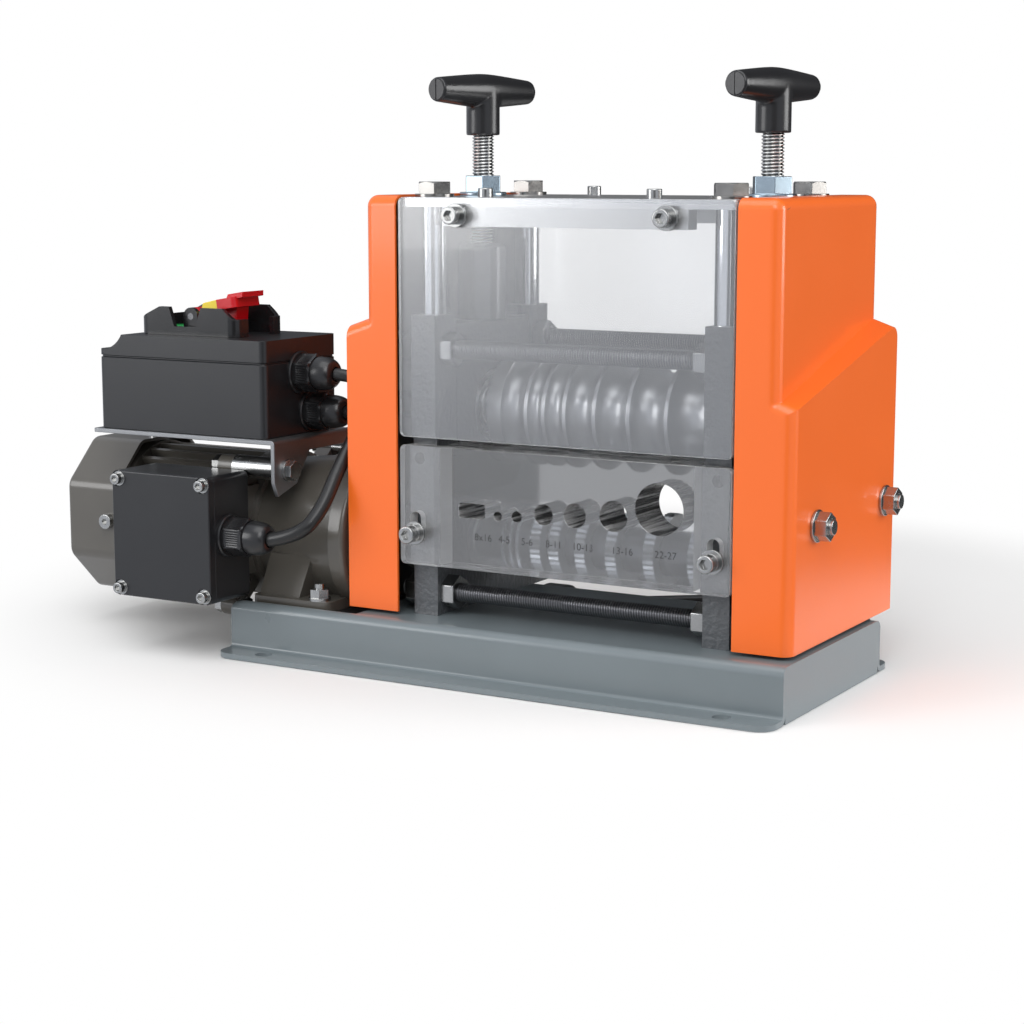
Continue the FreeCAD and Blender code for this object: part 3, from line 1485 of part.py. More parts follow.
def switch_guard():
    x0, x1 = collar_x
    y0, y1 = control_y - collar_spread, control_y + collar_spread
    z = (box_top, box_top + collar_peak)
    middle_z = (z[0] + z[1]) / 2
    outer = block((x0, x1), (y0, y1), z)
    outer = round_edges(outer, Z_AXIS, [(x, y, middle_z) for x in (x0, x1) for y in (y0, y1)], collar_corner)
    wall = collar_wall
    inner = block((x0 + wall, x1 - wall), (y0 + wall, y1 - wall), (z[0] - cut_past, z[1] + cut_past))
    corners = [(x, y, middle_z) for x in (x0 + wall, x1 - wall) for y in (y0 + wall, y1 - wall)]
    inner = round_edges(inner, Z_AXIS, corners, collar_corner - wall)
    skyline = [(x0 + a, box_top + h) for a, h in
               ((0, 0), (0, collar_low_end), (collar_slope, collar_peak), (notch_start, collar_peak),
                (notch_start + notch_slope, collar_notch), (notch_end, collar_notch),
                (notch_end + notch_slope, collar_peak), (collar_fall, collar_peak),
                (collar_fall + 2 * notch_slope, collar_low))]
    skyline += [(x1, box_top + collar_low), (x1, box_top)]
    ring = outer.cut(inner).common(prism_y(skyline, y0 - cut_past, y1 + cut_past))
    mouth = block((x1 - 2 * wall, x1 + cut_past),
                  (control_y - collar_mouth / 2, control_y + collar_mouth / 2),
                  (z[0] - cut_past, z[1] + cut_past))
    lugs = []
    for side in BOTH:
        inside = flap_half_width + flap_side_gap
        y = (control_y + side * inside, control_y + side * (inside + wall))
        lug = block((flap_axis_x - flap_barrel_radius, flap_axis_x + flap_barrel_radius), y,
                    (box_top, box_top + flap_axis_rise))
        top = rod(flap_barrel_radius, wall, (flap_axis_x, min(y), box_top + flap_axis_rise), Y_AXIS)
        lugs.append(fuse([lug, top]))
    holes = [rod(flap_axis_radius, 2 * collar_spread, (flap_axis_x, y0, box_top + flap_axis_rise), Y_AXIS)]
    pieces = [ring.cut(mouth)] + [lug.cut(holes) for lug in lugs]
    return pieces


def flap_pin():
    inside = flap_half_width + flap_side_gap + collar_wall
    return rod(flap_axis_radius, 2 * inside, (flap_axis_x, control_y - inside, box_top + flap_axis_rise),
               Y_AXIS)


# Emergency flap: a red lever over the stop button, hinged in the middle of the collar
def tilted(shape):
    """Lift a flap piece from lying flat to where it rests, about its pin."""
    moved = shape.copy()
    moved.rotate(Vector(flap_axis_x, control_y, box_top + flap_axis_rise), Y_AXIS, -flap_tilt)
    return moved


def flap_form(outline, half_width):
    z = box_top + flap_axis_rise
    points = [(flap_axis_x + a, z + b) for a, b in outline]
    return prism_y(points, control_y - half_width, control_y + half_width)


def emergency_flap():
    thick = flap_slab_thick
    top = flap_slab_low + thick
    slab = flap_form([(band_end, flap_slab_low), (flap_reach, flap_slab_low), (flap_reach, top),
                      (band_end, top)], flap_half_width)
    edge = [(flap_axis_x + flap_reach, control_y + side * flap_half_width, box_top) for side in BOTH]
    slab = round_edges(slab, Z_AXIS, edge, flap_corner)
    arm_top = flap_slab_low + flap_arm_in
    arm_end = band_end + joined_in
    arm = flap_form([(0, -flap_barrel_radius), (arm_end, arm_top - flap_arm_thick), (arm_end, arm_top),
                     (0, arm_top)], flap_half_width)
    barrel = rod(flap_barrel_radius, 2 * flap_half_width,
                 (flap_axis_x, control_y - flap_half_width, box_top + flap_axis_rise), Y_AXIS)
    tab_left = flap_reach - flap_tab
    tab = flap_form([(tab_left, top - joined_in), (flap_reach + flap_tab_past, top - joined_in),
                     (flap_reach + flap_tab_top_past, top + flap_tab_rise),
                     (tab_left + flap_tab_lean, top + flap_tab_rise)], flap_tab_share * flap_half_width)
    stem = flap_form([(stem_left, arm_top), (stem_left + stem_top_length, arm_top),
                      (stem_left + stem_foot[1], -stem_drop), (stem_left + stem_foot[0], -stem_drop)],
                     stem_share * flap_half_width)
    flap = tilted(fuse([slab, arm, barrel, tab, stem]))
    return flap.cut(rod(flap_axis_radius + running_gap, 4 * flap_half_width,
                        (flap_axis_x, control_y - 2 * flap_half_width, box_top + flap_axis_rise), Y_AXIS))


def flap_band():
    low = flap_slab_low + flap_arm_in
    top = flap_slab_low + flap_slab_thick
    left = band_end - band_length
    return tilted(flap_form([(left, low), (band_end, low), (band_end, top),
                             (left + band_lean, top - band_drop)], flap_half_width - band_in))


def push_button(x):
    button = rod(button_radius, button_depth - button_travel + button_rise,
                 (x, control_y, box_top - button_depth + button_travel), Z_AXIS)
    top = [e for e in button.Edges if abs(e.CenterOfMass.z - box_top - button_rise) < same_place
           and e.Length > round_edge_radii * button_radius]
    return button.makeFillet(button_round, top)


# Cords: straight runs joined by tangent arcs, and a coil whose turns follow a formula
def tangent_arc(a, corner, b):
    """The arc from a to b that leaves both along the lines to a corner equally far from each."""
    chord = (a + b) / 2
    outward = corner - chord
    half = (b - a).Length / 2
    turn = math.atan2(outward.Length, half)
    middle = chord + outward.normalize() * (half * math.tan(turn / 2))
    return Part.Arc(a, middle, b).toShape()


def route_wire(name, points):
    """Runs between the points, each corner rounded as far as its two runs allow."""
    points = [Vector(*p) for p in points]
    edges = []
    radii = []
    here = points[0]
    for before, corner, after in zip(points, points[1:], points[2:]):
        back = (before - corner).normalize()
        on = (after - corner).normalize()
        cut_back = route_corner_share * min((before - corner).Length, (after - corner).Length)
        half_turn = (math.pi - back.getAngle(on)) / 2
        radii.append(cut_back / math.tan(half_turn))
        a = corner + back * cut_back
        b = corner + on * cut_back
        edges.append(Part.LineSegment(here, a).toShape())
        edges.append(tangent_arc(a, corner, b))
        here = b
    edges.append(Part.LineSegment(here, points[-1]).toShape())
    wire = Part.Wire(edges)
    print(f"{name}: length {wire.Length:.0f}, radii", " ".join(f"{r:.0f}" for r in radii))
    return wire


def cord_solid(name, wire, radius):
    start = wire.OrderedVertexes[0].Point
    edge = wire.OrderedEdges[0]
    along = edge.tangentAt(edge.FirstParameter if edge.Orientation == "Forward" else edge.LastParameter)
    ring = Part.Wire(Part.makeCircle(radius, start, along))
    solid = wire.makePipeShell([ring], True, False)
    share = solid.Volume / (math.pi * radius ** 2 * wire.Length)
    print(f"{name}: volume over section times length {share:.4f}")
    return solid


def motor_cable():
    return cord_solid("motor_cable", route_wire("motor_cable", motor_cable_points), motor_cord_radius)


def coil_point(turn):
    """A point of the coil after so many turns: in on the lower layer, up, and out on the upper one."""
    middle = coil_turns / 2
    pitch = 2 * mains_cord_radius + coil_gap
    radius = coil_inner_radius + pitch * math.hypot(turn - middle, coil_bend)
    climb = min(max((turn - middle) / coil_climb + 1 / 2, 0), 1)
    height = coil_low + layer_rise * climb * climb * (3 - 2 * climb)
    angle = math.pi / 2 - 2 * math.pi * turn
    return Vector(coil_middle_x + radius * math.cos(angle), coil_middle_y + radius * math.sin(angle), height)


def coil_tangent(turn):
    return (coil_point(turn + coil_step) - coil_point(turn - coil_step)).normalize()


def coil_wire():
    """The coil as a pair of tangent arcs for every quarter turn."""
    quarters = int(round(4 * coil_turns))
    edges = []
    for k in range(quarters):
        a, b = coil_point(k / 4), coil_point((k + 1) / 4)
        t1, t2 = coil_tangent(k / 4), coil_tangent((k + 1) / 4)
        across = b - a
        both = t1 + t2
        spare = 2 * (1 - t1.dot(t2))
        lean = across.dot(both)
        reach = (math.sqrt(lean * lean + spare * across.dot(across)) - lean) / spare
        q1 = a + t1 * reach
        q2 = b - t2 * reach
        join = (q1 + q2) / 2
        edges += [tangent_arc(a, q1, join), tangent_arc(join, q2, b)]
    return Part.Wire(edges)


def mains_coil():
    wire = coil_wire()
    steps = int(coil_samples_a_turn * coil_turns)
    points = [coil_point(coil_turns * k / steps) for k in range(steps + 1)]
    half_turn = coil_samples_a_turn // 2
    apart = min((p - q).Length for i, p in enumerate(points) for q in points[i + half_turn:])
    print(f"mains_coil: length {wire.Length:.0f}, least gap to itself {apart - 2 * mains_cord_radius:.2f}")
    return cord_solid("mains_coil", wire, mains_cord_radius)


def mains_lead():
    """The stretch from the gland to the coil, and the short tail from the coil to the plug."""
    lead = route_wire("mains_lead", mains_lead_points + [tuple(coil_point(0))])
    tail = route_wire("mains_tail", [tuple(coil_point(coil_turns))] + mains_tail_points)
    return [cord_solid("mains_lead", lead, mains_cord_radius),
            cord_solid("mains_tail", tail, mains_cord_radius)]


def mains_plug():
    """A small moulded plug that lies on the floor, with its tapered strain relief and three flat pins."""
    x, y, z = mains_tail_points[-1]
    relief = turned([(0, 0), (mains_cord_radius + relief_wall, 0), (relief_radius, relief_length),
                     (0, relief_length)], (x, y, z), LEFT)
    front = x - relief_length
    neck_wide, neck_high = plug_neck_share
    shoulder_wide, shoulder_high = plug_shoulder_share
    rows = ((0, neck_wide * plug_wide, z - plug_neck_drop, z + neck_high * plug_high),
            (plug_shoulder_along * plug_length, shoulder_wide * plug_wide, plug_floor,
             shoulder_high * plug_high),
            (plug_length, plug_wide / 2, plug_floor, plug_high))
    sections = []
    for along, wide, low, high in rows:
        corners = [Vector(front - along, y - wide, low), Vector(front - along, y + wide, low),
                   Vector(front - along, y + wide, high), Vector(front - along, y - wide, high)]
        sections.append(Part.makePolygon(corners + corners[:1]))
    body = Part.makeLoft(sections, True, True)
    pin_x = (front - plug_length - pin_length, front - plug_length)
    pins = [block(pin_x, (y + side * pin_spread - pin_thick / 2, y + side * pin_spread + pin_thick / 2),
                  (pin_height - pin_wide / 2, pin_height + pin_wide / 2)) for side in BOTH]
    pins.append(block(pin_x, (y - pin_wide / 2, y + pin_wide / 2),
                      (earth_pin_height - pin_thick / 2, earth_pin_height + pin_thick / 2)))
    return [fuse([relief, body])] + pins


save("base_channel", [base_channel()])
save("motor_shelf", [motor_shelf()])
save("right_side_frame", [side_frame(-1, right_studs)], on_head=True)
save("left_side_frame", [left_side_frame()], on_head=True)
save("frame_bolts", frame_bolts())
save("lower_bearings", shaft_bearings(lower_axis_z), on_head=True)
save("tie_rods", tie_rods(), on_head=True)
save("tie_rod_nuts", tie_rod_nuts(), on_head=True)
save("spacer_columns", columns(), on_head=True)
save("top_plate", [top_plate()], on_head=True)
save("column_bolts", column_bolts(), on_head=True)
save("screw_nuts", screw_nuts(), on_head=True)
save("hanger_bars", hanger_bars(), on_head=True)
save("upper_guard", [guard(-1)], on_head=True)
save("rear_guard", [guard(1)], on_head=True)
save("guard_screws", guard_screws(), on_head=True)
save("guide_block", [guide_block()], on_head=True)
save("guide_screws", guide_screws(), on_head=True)
save("right_cover", [cover(right_studs, [])], on_head=True)
save("left_cover", [left_cover()], on_head=True)
save("cover_studs", cover_studs(), on_head=True)
save("lower_shaft", [stepped_shaft(lower_axis_z, coupling_split, frame_outer + 2)], on_head=True)
save("drive_rings", drive_rings(), on_head=True)
save("cutter_discs", cutter_discs(), on_head=True)
save("drive_coupling", [drive_coupling()], on_head=True)
save("output_shaft", [output_shaft()], on_head=True)
save("upper_shaft", [stepped_shaft(upper_axis_z, -frame_outer, frame_outer)], on_head=True)
save("grooved_roller", [grooved_roller()], on_head=True)
save("right_bearing_block", [bearing_block()], on_head=True)
save("left_bearing_block", [mirrored(bearing_block(), -1)], on_head=True)
save("upper_bearings", shaft_bearings(upper_axis_z), on_head=True)
save("screw_cups", screw_cups(), on_head=True)
for side, name in zip(BOTH, ("left", "right")):
    save(f"{name}_pressure_screw", [pressure_screw(side)], on_head=True)
    save(f"{name}_t_handle", [t_handle(side)], on_head=True)
save("gear_head", [gear_head()])
save("motor_body", [motor_body()])
save("motor_stator", [motor_stator()])
save("motor_rotor", [motor_rotor()])
save("cooling_fan", [cooling_fan()])
save("fan_cowl", [fan_cowl()])
save("junction_box", [junction_box()])
save("junction_lid", [junction_cover()])
save("case_screws", case_screws())
save("cable_glands", cable_glands())
save("switch_bracket", [switch_bracket()])
save("bracket_spacers", bracket_spacers())
save("switch_box", [switch_box()])
save("switch_lid", [switch_lid()])
save("switch_guard", switch_guard())
save("flap_pin", [flap_pin()])
save("emergency_flap", [emergency_flap()])
save("flap_band", [flap_band()])
save("start_button", [push_button(start_button_x)])
save("stop_button", [push_button(stop_button_x)])
save("motor_cable", [motor_cable()])
save("mains_lead", mains_lead())
save("mains_coil", [mains_coil()])
save("mains_plug", mains_plug())
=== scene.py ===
import json
import math

import bmesh
import bpy
import numpy as np
from mathutils import Matrix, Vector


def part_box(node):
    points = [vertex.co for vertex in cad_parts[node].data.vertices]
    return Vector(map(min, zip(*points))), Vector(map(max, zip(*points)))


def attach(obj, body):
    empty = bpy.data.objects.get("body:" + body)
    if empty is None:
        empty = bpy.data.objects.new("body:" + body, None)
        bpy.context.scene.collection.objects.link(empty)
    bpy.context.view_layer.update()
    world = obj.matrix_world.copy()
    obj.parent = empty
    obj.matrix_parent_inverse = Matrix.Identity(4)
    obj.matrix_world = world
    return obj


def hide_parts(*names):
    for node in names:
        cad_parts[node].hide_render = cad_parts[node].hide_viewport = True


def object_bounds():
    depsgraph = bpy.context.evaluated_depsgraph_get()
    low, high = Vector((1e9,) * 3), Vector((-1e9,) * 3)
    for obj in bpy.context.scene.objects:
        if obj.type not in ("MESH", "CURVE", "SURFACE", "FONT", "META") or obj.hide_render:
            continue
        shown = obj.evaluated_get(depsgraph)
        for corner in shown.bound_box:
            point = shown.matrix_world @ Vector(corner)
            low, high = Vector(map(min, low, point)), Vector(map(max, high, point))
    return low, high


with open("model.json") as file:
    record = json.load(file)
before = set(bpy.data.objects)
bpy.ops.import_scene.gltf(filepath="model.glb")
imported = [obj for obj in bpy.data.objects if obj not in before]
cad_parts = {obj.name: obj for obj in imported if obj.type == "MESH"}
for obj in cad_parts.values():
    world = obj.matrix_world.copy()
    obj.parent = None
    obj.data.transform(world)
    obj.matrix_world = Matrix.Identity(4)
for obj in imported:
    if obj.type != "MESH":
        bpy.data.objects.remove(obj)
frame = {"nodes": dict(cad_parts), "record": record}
cad_low, cad_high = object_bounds()


# The bench, the light and the camera
# A plain pale floor that runs out into white. Soft lamps stand low at the front left, high at the front
# right, above, and at the right behind. The camera looks from the right of the machine's front, and a little
# down.
floor_reach = 4.0
floor_drop = 0.0004
floor_white = (0.93, 0.93, 0.93, 1)
floor_roughness = 0.9
floor_gloss = 0.1
floor_centre = (-0.04, 0.17, 0)
floor_plain_from = 0.27
floor_plain_to = 0.43
room_front = 0.5
room_behind = 0.2
room_from = -0.4
room_to = 0.6
gloss_front = 0.75
gloss_tint = (0.87, 0.91, 1.0, 1)
dark_side = (0.2, 0.98, 0.0)
dark_from = 0.2
dark_full = 0.75
dark_strength = 0.06
band_side = (0.48, -0.87, -0.1)
band_from = 0.93
band_full = 0.975
band_strength = 0.15
flag_side = (0.985, 0.17, 0.0)
flag_from = 0.955
flag_full = 0.985
flag_strength = 0.12
camera_place = (0.5662, -1.0272, 0.2714)
camera_turn = (80.91, 0, 29.86)
camera_lens = 76.1
lamps = (("left_box", (-1.11, -1.21, 0.53), 0.75, 7.5), ("high_box", (0.75, -1.35, 1.3), 1.0, 11.0),
         ("top_box", (0.0, -0.5, 1.65), 1.3, 10.0), ("right_box", (1.7, 0.75, 0.6), 1.0, 19.0))


def link(tree, out_node, out_name, in_node, in_name):
    tree.links.new(out_node.outputs[out_name], in_node.inputs[in_name])


def ramp_node(tree, low, high, at_low, at_high, kind="SMOOTHSTEP"):
    """Turns a value into another that goes from at_low to at_high as the first goes from low to high."""
    made = tree.nodes.new("ShaderNodeMapRange")
    made.interpolation_type = kind
    for name, value in (("From Min", low), ("From Max", high), ("To Min", at_low), ("To Max", at_high)):
        made.inputs[name].default_value = value
    return made


def seen_strength(tree, direction_node, direction_name):
    """How bright the room is in a direction, and its gloss tint: 1 to the eye and through clear pieces. For
    gloss it is pale in front, less a dark patch round the camera and one at the right, and dark behind. What
    has been scattered sees room light."""
    def toward(side, low, high, at_low, at_high):
        dot = tree.nodes.new("ShaderNodeVectorMath")
        dot.operation = "DOT_PRODUCT"
        dot.inputs[1].default_value = side
        ramp = ramp_node(tree, low, high, at_low, at_high)
        link(tree, direction_node, direction_name, dot, 0)
        link(tree, dot, "Value", ramp, "Value")
        return ramp

    behind = toward(dark_side, dark_from, dark_full, gloss_front, dark_strength)
    band = toward(band_side, band_from, band_full, 1.0, band_strength)
    flag = toward(flag_side, flag_from, flag_full, 1.0, flag_strength)
    plain = toward(dark_side, room_from, room_to, room_front, room_behind)
    ray = tree.nodes.new("ShaderNodeLightPath")

    def test(operation, first_name, second=None, second_name=None, limit=0.5, first=ray):
        made = tree.nodes.new("ShaderNodeMath")
        made.operation = operation
        made.inputs[1].default_value = limit
        link(tree, first, first_name, made, 0)
        if second:
            link(tree, second, second_name, made, 1)
        return made

    front = test("MULTIPLY", "Result", band, "Result", first=behind)
    gloss = test("MULTIPLY", "Value", flag, "Result", first=front)
    unscattered = test("LESS_THAN", "Diffuse Depth")
    mirrored = test("GREATER_THAN", "Glossy Depth")
    seen = tree.nodes.new("ShaderNodeMix")
    seen.inputs["A"].default_value = 1.0
    strength = tree.nodes.new("ShaderNodeMix")
    shine = test("MULTIPLY", "Value", unscattered, "Value", first=mirrored)
    tint = tree.nodes.new("ShaderNodeMix")
    tint.data_type = "RGBA"
    tint.inputs["A"].default_value = (1, 1, 1, 1)
    tint.inputs["B"].default_value = gloss_tint
    link(tree, mirrored, "Value", seen, "Factor")
    link(tree, gloss, "Value", seen, "B")
    link(tree, unscattered, "Value", strength, "Factor")
    link(tree, plain, "Result", strength, "A")
    link(tree, seen, "Result", strength, "B")
    link(tree, shine, "Value", tint, "Factor")
    return strength, tint


def floor_material():
    """Matt white that fades into the room's own white away from the machine, by distance on the floor."""
    material = bpy.data.materials.new("floor_white")
    material.use_nodes = True
    tree = material.node_tree
    shader = tree.nodes["Principled BSDF"]
    shader.inputs["Base Color"].default_value = floor_white
    shader.inputs["Roughness"].default_value = floor_roughness
    shader.inputs["Specular IOR Level"].default_value = floor_gloss
    place = tree.nodes.new("ShaderNodeTexCoord")
    length = tree.nodes.new("ShaderNodeVectorMath")
    length.operation = "DISTANCE"
    length.inputs[1].default_value = floor_centre
    toward = tree.nodes.new("ShaderNodeVectorMath")
    toward.operation = "NORMALIZE"
    fade = ramp_node(tree, floor_plain_from, floor_plain_to, 0.0, 1.0)
    glow = tree.nodes.new("ShaderNodeEmission")
    mix = tree.nodes.new("ShaderNodeMixShader")
    link(tree, place, "Object", toward, 0)
    strength, tint = seen_strength(tree, toward, "Vector")
    link(tree, strength, "Result", glow, "Strength")
    link(tree, tint, "Result", glow, "Color")
    link(tree, place, "Object", length, 0)
    link(tree, length, "Value", fade, "Value")
    link(tree, fade, "Result", mix, 0)
    link(tree, shader, "BSDF", mix, 1)
    link(tree, glow, "Emission", mix, 2)
    link(tree, mix, "Shader", tree.nodes["Material Output"], "Surface")
    return material


def studio_world():
    """The same room all round, as the world's background."""
    world = bpy.data.worlds.new("studio")
    bpy.context.scene.world = world
    world.use_nodes = True
    tree = world.node_tree
    place = tree.nodes.new("ShaderNodeTexCoord")
    strength, tint = seen_strength(tree, place, "Generated")
    link(tree, strength, "Result", tree.nodes["Background"], "Strength")
    link(tree, tint, "Result", tree.nodes["Background"], "Color")


def add_object(name, data):
    made = bpy.data.objects.new(name, data)
    bpy.context.scene.collection.objects.link(made)
    return made


floor_mesh = bpy.data.meshes.new("floor")
floor_mesh.from_pydata([(-floor_reach, -floor_reach, -floor_drop), (floor_reach, -floor_reach, -floor_drop),
                        (floor_reach, floor_reach, -floor_drop), (-floor_reach, floor_reach, -floor_drop)],
                       [], [(0, 1, 2, 3)])
floor_mesh.materials.append(floor_material())
add_object("floor", floor_mesh)
studio_world()
for name, place, size, power in lamps:
    light = bpy.data.lights.new(name, "AREA")
    light.size = size
    light.energy = power
    lamp = add_object(name, light)
    lamp.location = place
    toward = (cad_low + cad_high) / 2 - lamp.location
    lamp.rotation_euler = toward.to_track_quat("-Z", "Y").to_euler()
camera_data = bpy.data.cameras.new("camera")
camera_data.lens = camera_lens
camera = add_object("camera", camera_data)
camera.location = camera_place
camera.rotation_euler = [math.radians(a) for a in camera_turn]
bpy.context.scene.camera = camera
bpy.context.scene.view_settings.view_transform = "Standard"


# Base channel
# One sheet of 3 mm steel bent into a channel with a flange along each side, and a wall across its right end.
# It is painted blue-grey with a smooth gloss coat that shows a faint orange peel.
base_grey = (0.18, 0.213, 0.23, 1)
least_roughness = 0.02
same_place = 0.000002
flat_angle = 0.004
nodes = frame["nodes"]
bodies = frame["record"]["behaviour"]["bodies"]
body_of = {node: body for body, members in bodies.items() for node in members}


def effect_group(name, inputs, outputs):
    """An empty shader node group with named number inputs and outputs."""
    group = bpy.data.node_groups.new(name, "ShaderNodeTree")
    for label, value in inputs:
        socket = group.interface.new_socket(label, in_out="INPUT", socket_type="NodeSocketFloat")
        socket.default_value = value
    for label in outputs:
        group.interface.new_socket(label, in_out="OUTPUT", socket_type="NodeSocketFloat")
    return group, group.nodes.new("NodeGroupInput"), group.nodes.new("NodeGroupOutput")


def grain_group():
    """Mask: slow blotches about Blotch metres across. Height: grain about Size metres across."""
    group, given, result = effect_group("grain", [("Size", 0.001), ("Blotch", 0.06), ("Rough", 0.5)],
                                        ["Mask", "Height"])
    place = group.nodes.new("ShaderNodeTexCoord")
    for label, out, detail in (("Size", "Height", 3.0), ("Blotch", "Mask", 5.0)):
        count = group.nodes.new("ShaderNodeMath")
        count.operation = "DIVIDE"
        count.inputs[0].default_value = 1.0
        noise = group.nodes.new("ShaderNodeTexNoise")
        noise.inputs["Detail"].default_value = detail
        link(group, given, label, count, 1)
        link(group, place, "Object", noise, "Vector")
        link(group, count, "Value", noise, "Scale")
        link(group, given, "Rough", noise, "Roughness")
        link(group, noise, "Fac", result, out)
    return group


def streak_group():
    """Fine scratches: noise squeezed by a count per metre along each axis. Height is the noise, and Mask goes
    from 0 to 1 as the noise goes from Low to High."""
    inputs = [("Across X", 20.0), ("Across Y", 20.0), ("Across Z", 1500.0), ("Low", 0.0), ("High", 1.0)]
    group, given, result = effect_group("streaks", inputs, ["Mask", "Height"])
    place = group.nodes.new("ShaderNodeTexCoord")
    join = group.nodes.new("ShaderNodeCombineXYZ")
    scale = group.nodes.new("ShaderNodeVectorMath")
    scale.operation = "MULTIPLY"
    noise = group.nodes.new("ShaderNodeTexNoise")
    noise.inputs["Scale"].default_value = 1.0
    noise.inputs["Detail"].default_value = 4.0
    for axis in "XYZ":
        link(group, given, f"Across {axis}", join, axis)
    link(group, place, "Object", scale, 0)
    link(group, join, "Vector", scale, 1)
    link(group, scale, "Vector", noise, "Vector")
    ramp = ramp_node(group, 0.0, 1.0, 0.0, 1.0, "LINEAR")
    link(group, noise, "Fac", ramp, "Value")
    link(group, given, "Low", ramp, "From Min")
    link(group, given, "High", ramp, "From Max")
    link(group, ramp, "Result", result, "Mask")
    link(group, noise, "Fac", result, "Height")
    return group


grain = grain_group()
streaks = streak_group()


def finish(name, colour, roughness, metallic=0.0, effect=None, values=None, bump=0.1, depth=0.0001,
           shade=0.08, sheen_change=0.06, **sockets):
    """A surface of one colour whose shade, gloss and height vary by an effect's mask and height."""
    material = bpy.data.materials.new(name)
    material.use_nodes = True
    tree = material.node_tree
    shader = tree.nodes["Principled BSDF"]
    shader.inputs["Metallic"].default_value = metallic
    for socket, value in sockets.items():
        shader.inputs[socket.replace("_", " ")].default_value = value
    pattern = tree.nodes.new("ShaderNodeGroup")
    pattern.node_tree = effect or grain
    for label, value in (values or {}).items():
        pattern.inputs[label].default_value = value
    tint = tree.nodes.new("ShaderNodeMix")
    tint.data_type = "RGBA"
    tint.inputs["A"].default_value = [c * (1 - shade) for c in colour[:3]] + [1]
    tint.inputs["B"].default_value = [min(c * (1 + shade), 1) for c in colour[:3]] + [1]
    gloss = tree.nodes.new("ShaderNodeMapRange")
    gloss.inputs["To Min"].default_value = max(roughness - sheen_change, least_roughness)
    gloss.inputs["To Max"].default_value = roughness + sheen_change
    relief = tree.nodes.new("ShaderNodeBump")
    relief.inputs["Strength"].default_value = bump
    relief.inputs["Distance"].default_value = depth
    link(tree, pattern, "Mask", tint, "Factor")
    link(tree, pattern, "Mask", gloss, "Value")
    link(tree, pattern, "Height", relief, "Height")
    link(tree, tint, "Result", shader, "Base Color")
    link(tree, gloss, "Result", shader, "Roughness")
    link(tree, relief, "Normal", shader, "Normal")
    return material


def settle(piece, node, material, body=None, standing_for=None, slot=None):
    """Give a new piece its material, the body that carries it, and the CAD nodes that it stands for."""
    piece.data.materials.clear()
    piece.data.materials.append(material)
    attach(piece, body or body_of[node])
    if standing_for != ():
        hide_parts(*(standing_for or [node]))
    return piece


def softened(node, material, edge=0.0003, sharp=0.6, shift=(0, 0, 0), **facts):
    """The CAD solid's own form with its corners slightly broken: doubles merged, flats joined, edges
    bevelled. It may be shifted by a small play."""
    mesh = nodes[node].data.copy()
    mesh.transform(Matrix.Translation(shift))
    mesh.name = node + "_soft"
    while mesh.attributes.get("custom_normal"):
        mesh.attributes.remove(mesh.attributes["custom_normal"])
    work = bmesh.new()
    work.from_mesh(mesh)
    bmesh.ops.remove_doubles(work, verts=work.verts, dist=same_place)
    bmesh.ops.dissolve_limit(work, angle_limit=flat_angle, verts=work.verts, edges=work.edges)
    work.to_mesh(mesh)
    work.free()
    mesh.shade_smooth()
    mesh.set_sharp_from_angle(angle=sharp)
    piece = add_object(node + "_soft", mesh)
    bevel = piece.modifiers.new("edges", "BEVEL")
    bevel.width = edge
    bevel.segments = 2
    bevel.limit_method = "ANGLE"
    bevel.angle_limit = sharp
    bevel.use_clamp_overlap = True
    weighted = piece.modifiers.new("normals", "WEIGHTED_NORMAL")
    weighted.keep_sharp = True
    return settle(piece, node, material, **facts)


def dress(material, *names):
    """Give CAD solids whose form is right as it stands their finish."""
    for name in names:
        nodes[name].data.materials.clear()
        nodes[name].data.materials.append(material)


base_paint = finish("base_paint", base_grey, 0.3, values={"Size": 0.0016, "Blotch": 0.05}, bump=0.12,
                    depth=0.0002, Coat_Weight=0.25, Coat_Roughness=0.08)
softened("base_channel", base_paint, edge=0.0004)


# Motor shelf
# A black plate that closes the base's open bay under the motor. It is bent down along both sides, where the
# base's walls carry it, and painted satin black.
shelf_black = (0.012, 0.012, 0.013, 1)
shelf_paint = finish("shelf_paint", shelf_black, 0.4, values={"Size": 0.0012, "Blotch": 0.03}, bump=0.2)
softened("motor_shelf", shelf_paint)


# Side frames
# Two iron castings, each with a post on either side of a window for the sliding bearing block. They are
# sprayed with hammer enamel: dark grey paint that dries into shallow pits two or three millimetres across.
hammer_grey = (0.085, 0.092, 0.1, 1)
hammer_paint = finish("hammer_paint", hammer_grey, 0.36, values={"Size": 0.003, "Blotch": 0.02},
                      bump=0.9, depth=0.001, Coat_Weight=0.5, Coat_Roughness=0.14)
for side in ("left", "right"):
    softened(f"{side}_side_frame", hammer_paint, edge=0.0008)


# Frame and motor bolts
# Hexagon bolts down through the feet of the frames and of the gear head, with washers and nuts below.
# They are steel with a bright zinc plating that clouds a little on the flats.
zinc_white = (0.43, 0.43, 0.42, 1)
zinc = finish("zinc", zinc_white, 0.24, metallic=1.0, values={"Size": 0.0009, "Blotch": 0.006}, bump=0.15,
              shade=0.12, sheen_change=0.1)
softened("frame_bolts", zinc, edge=0.0002)


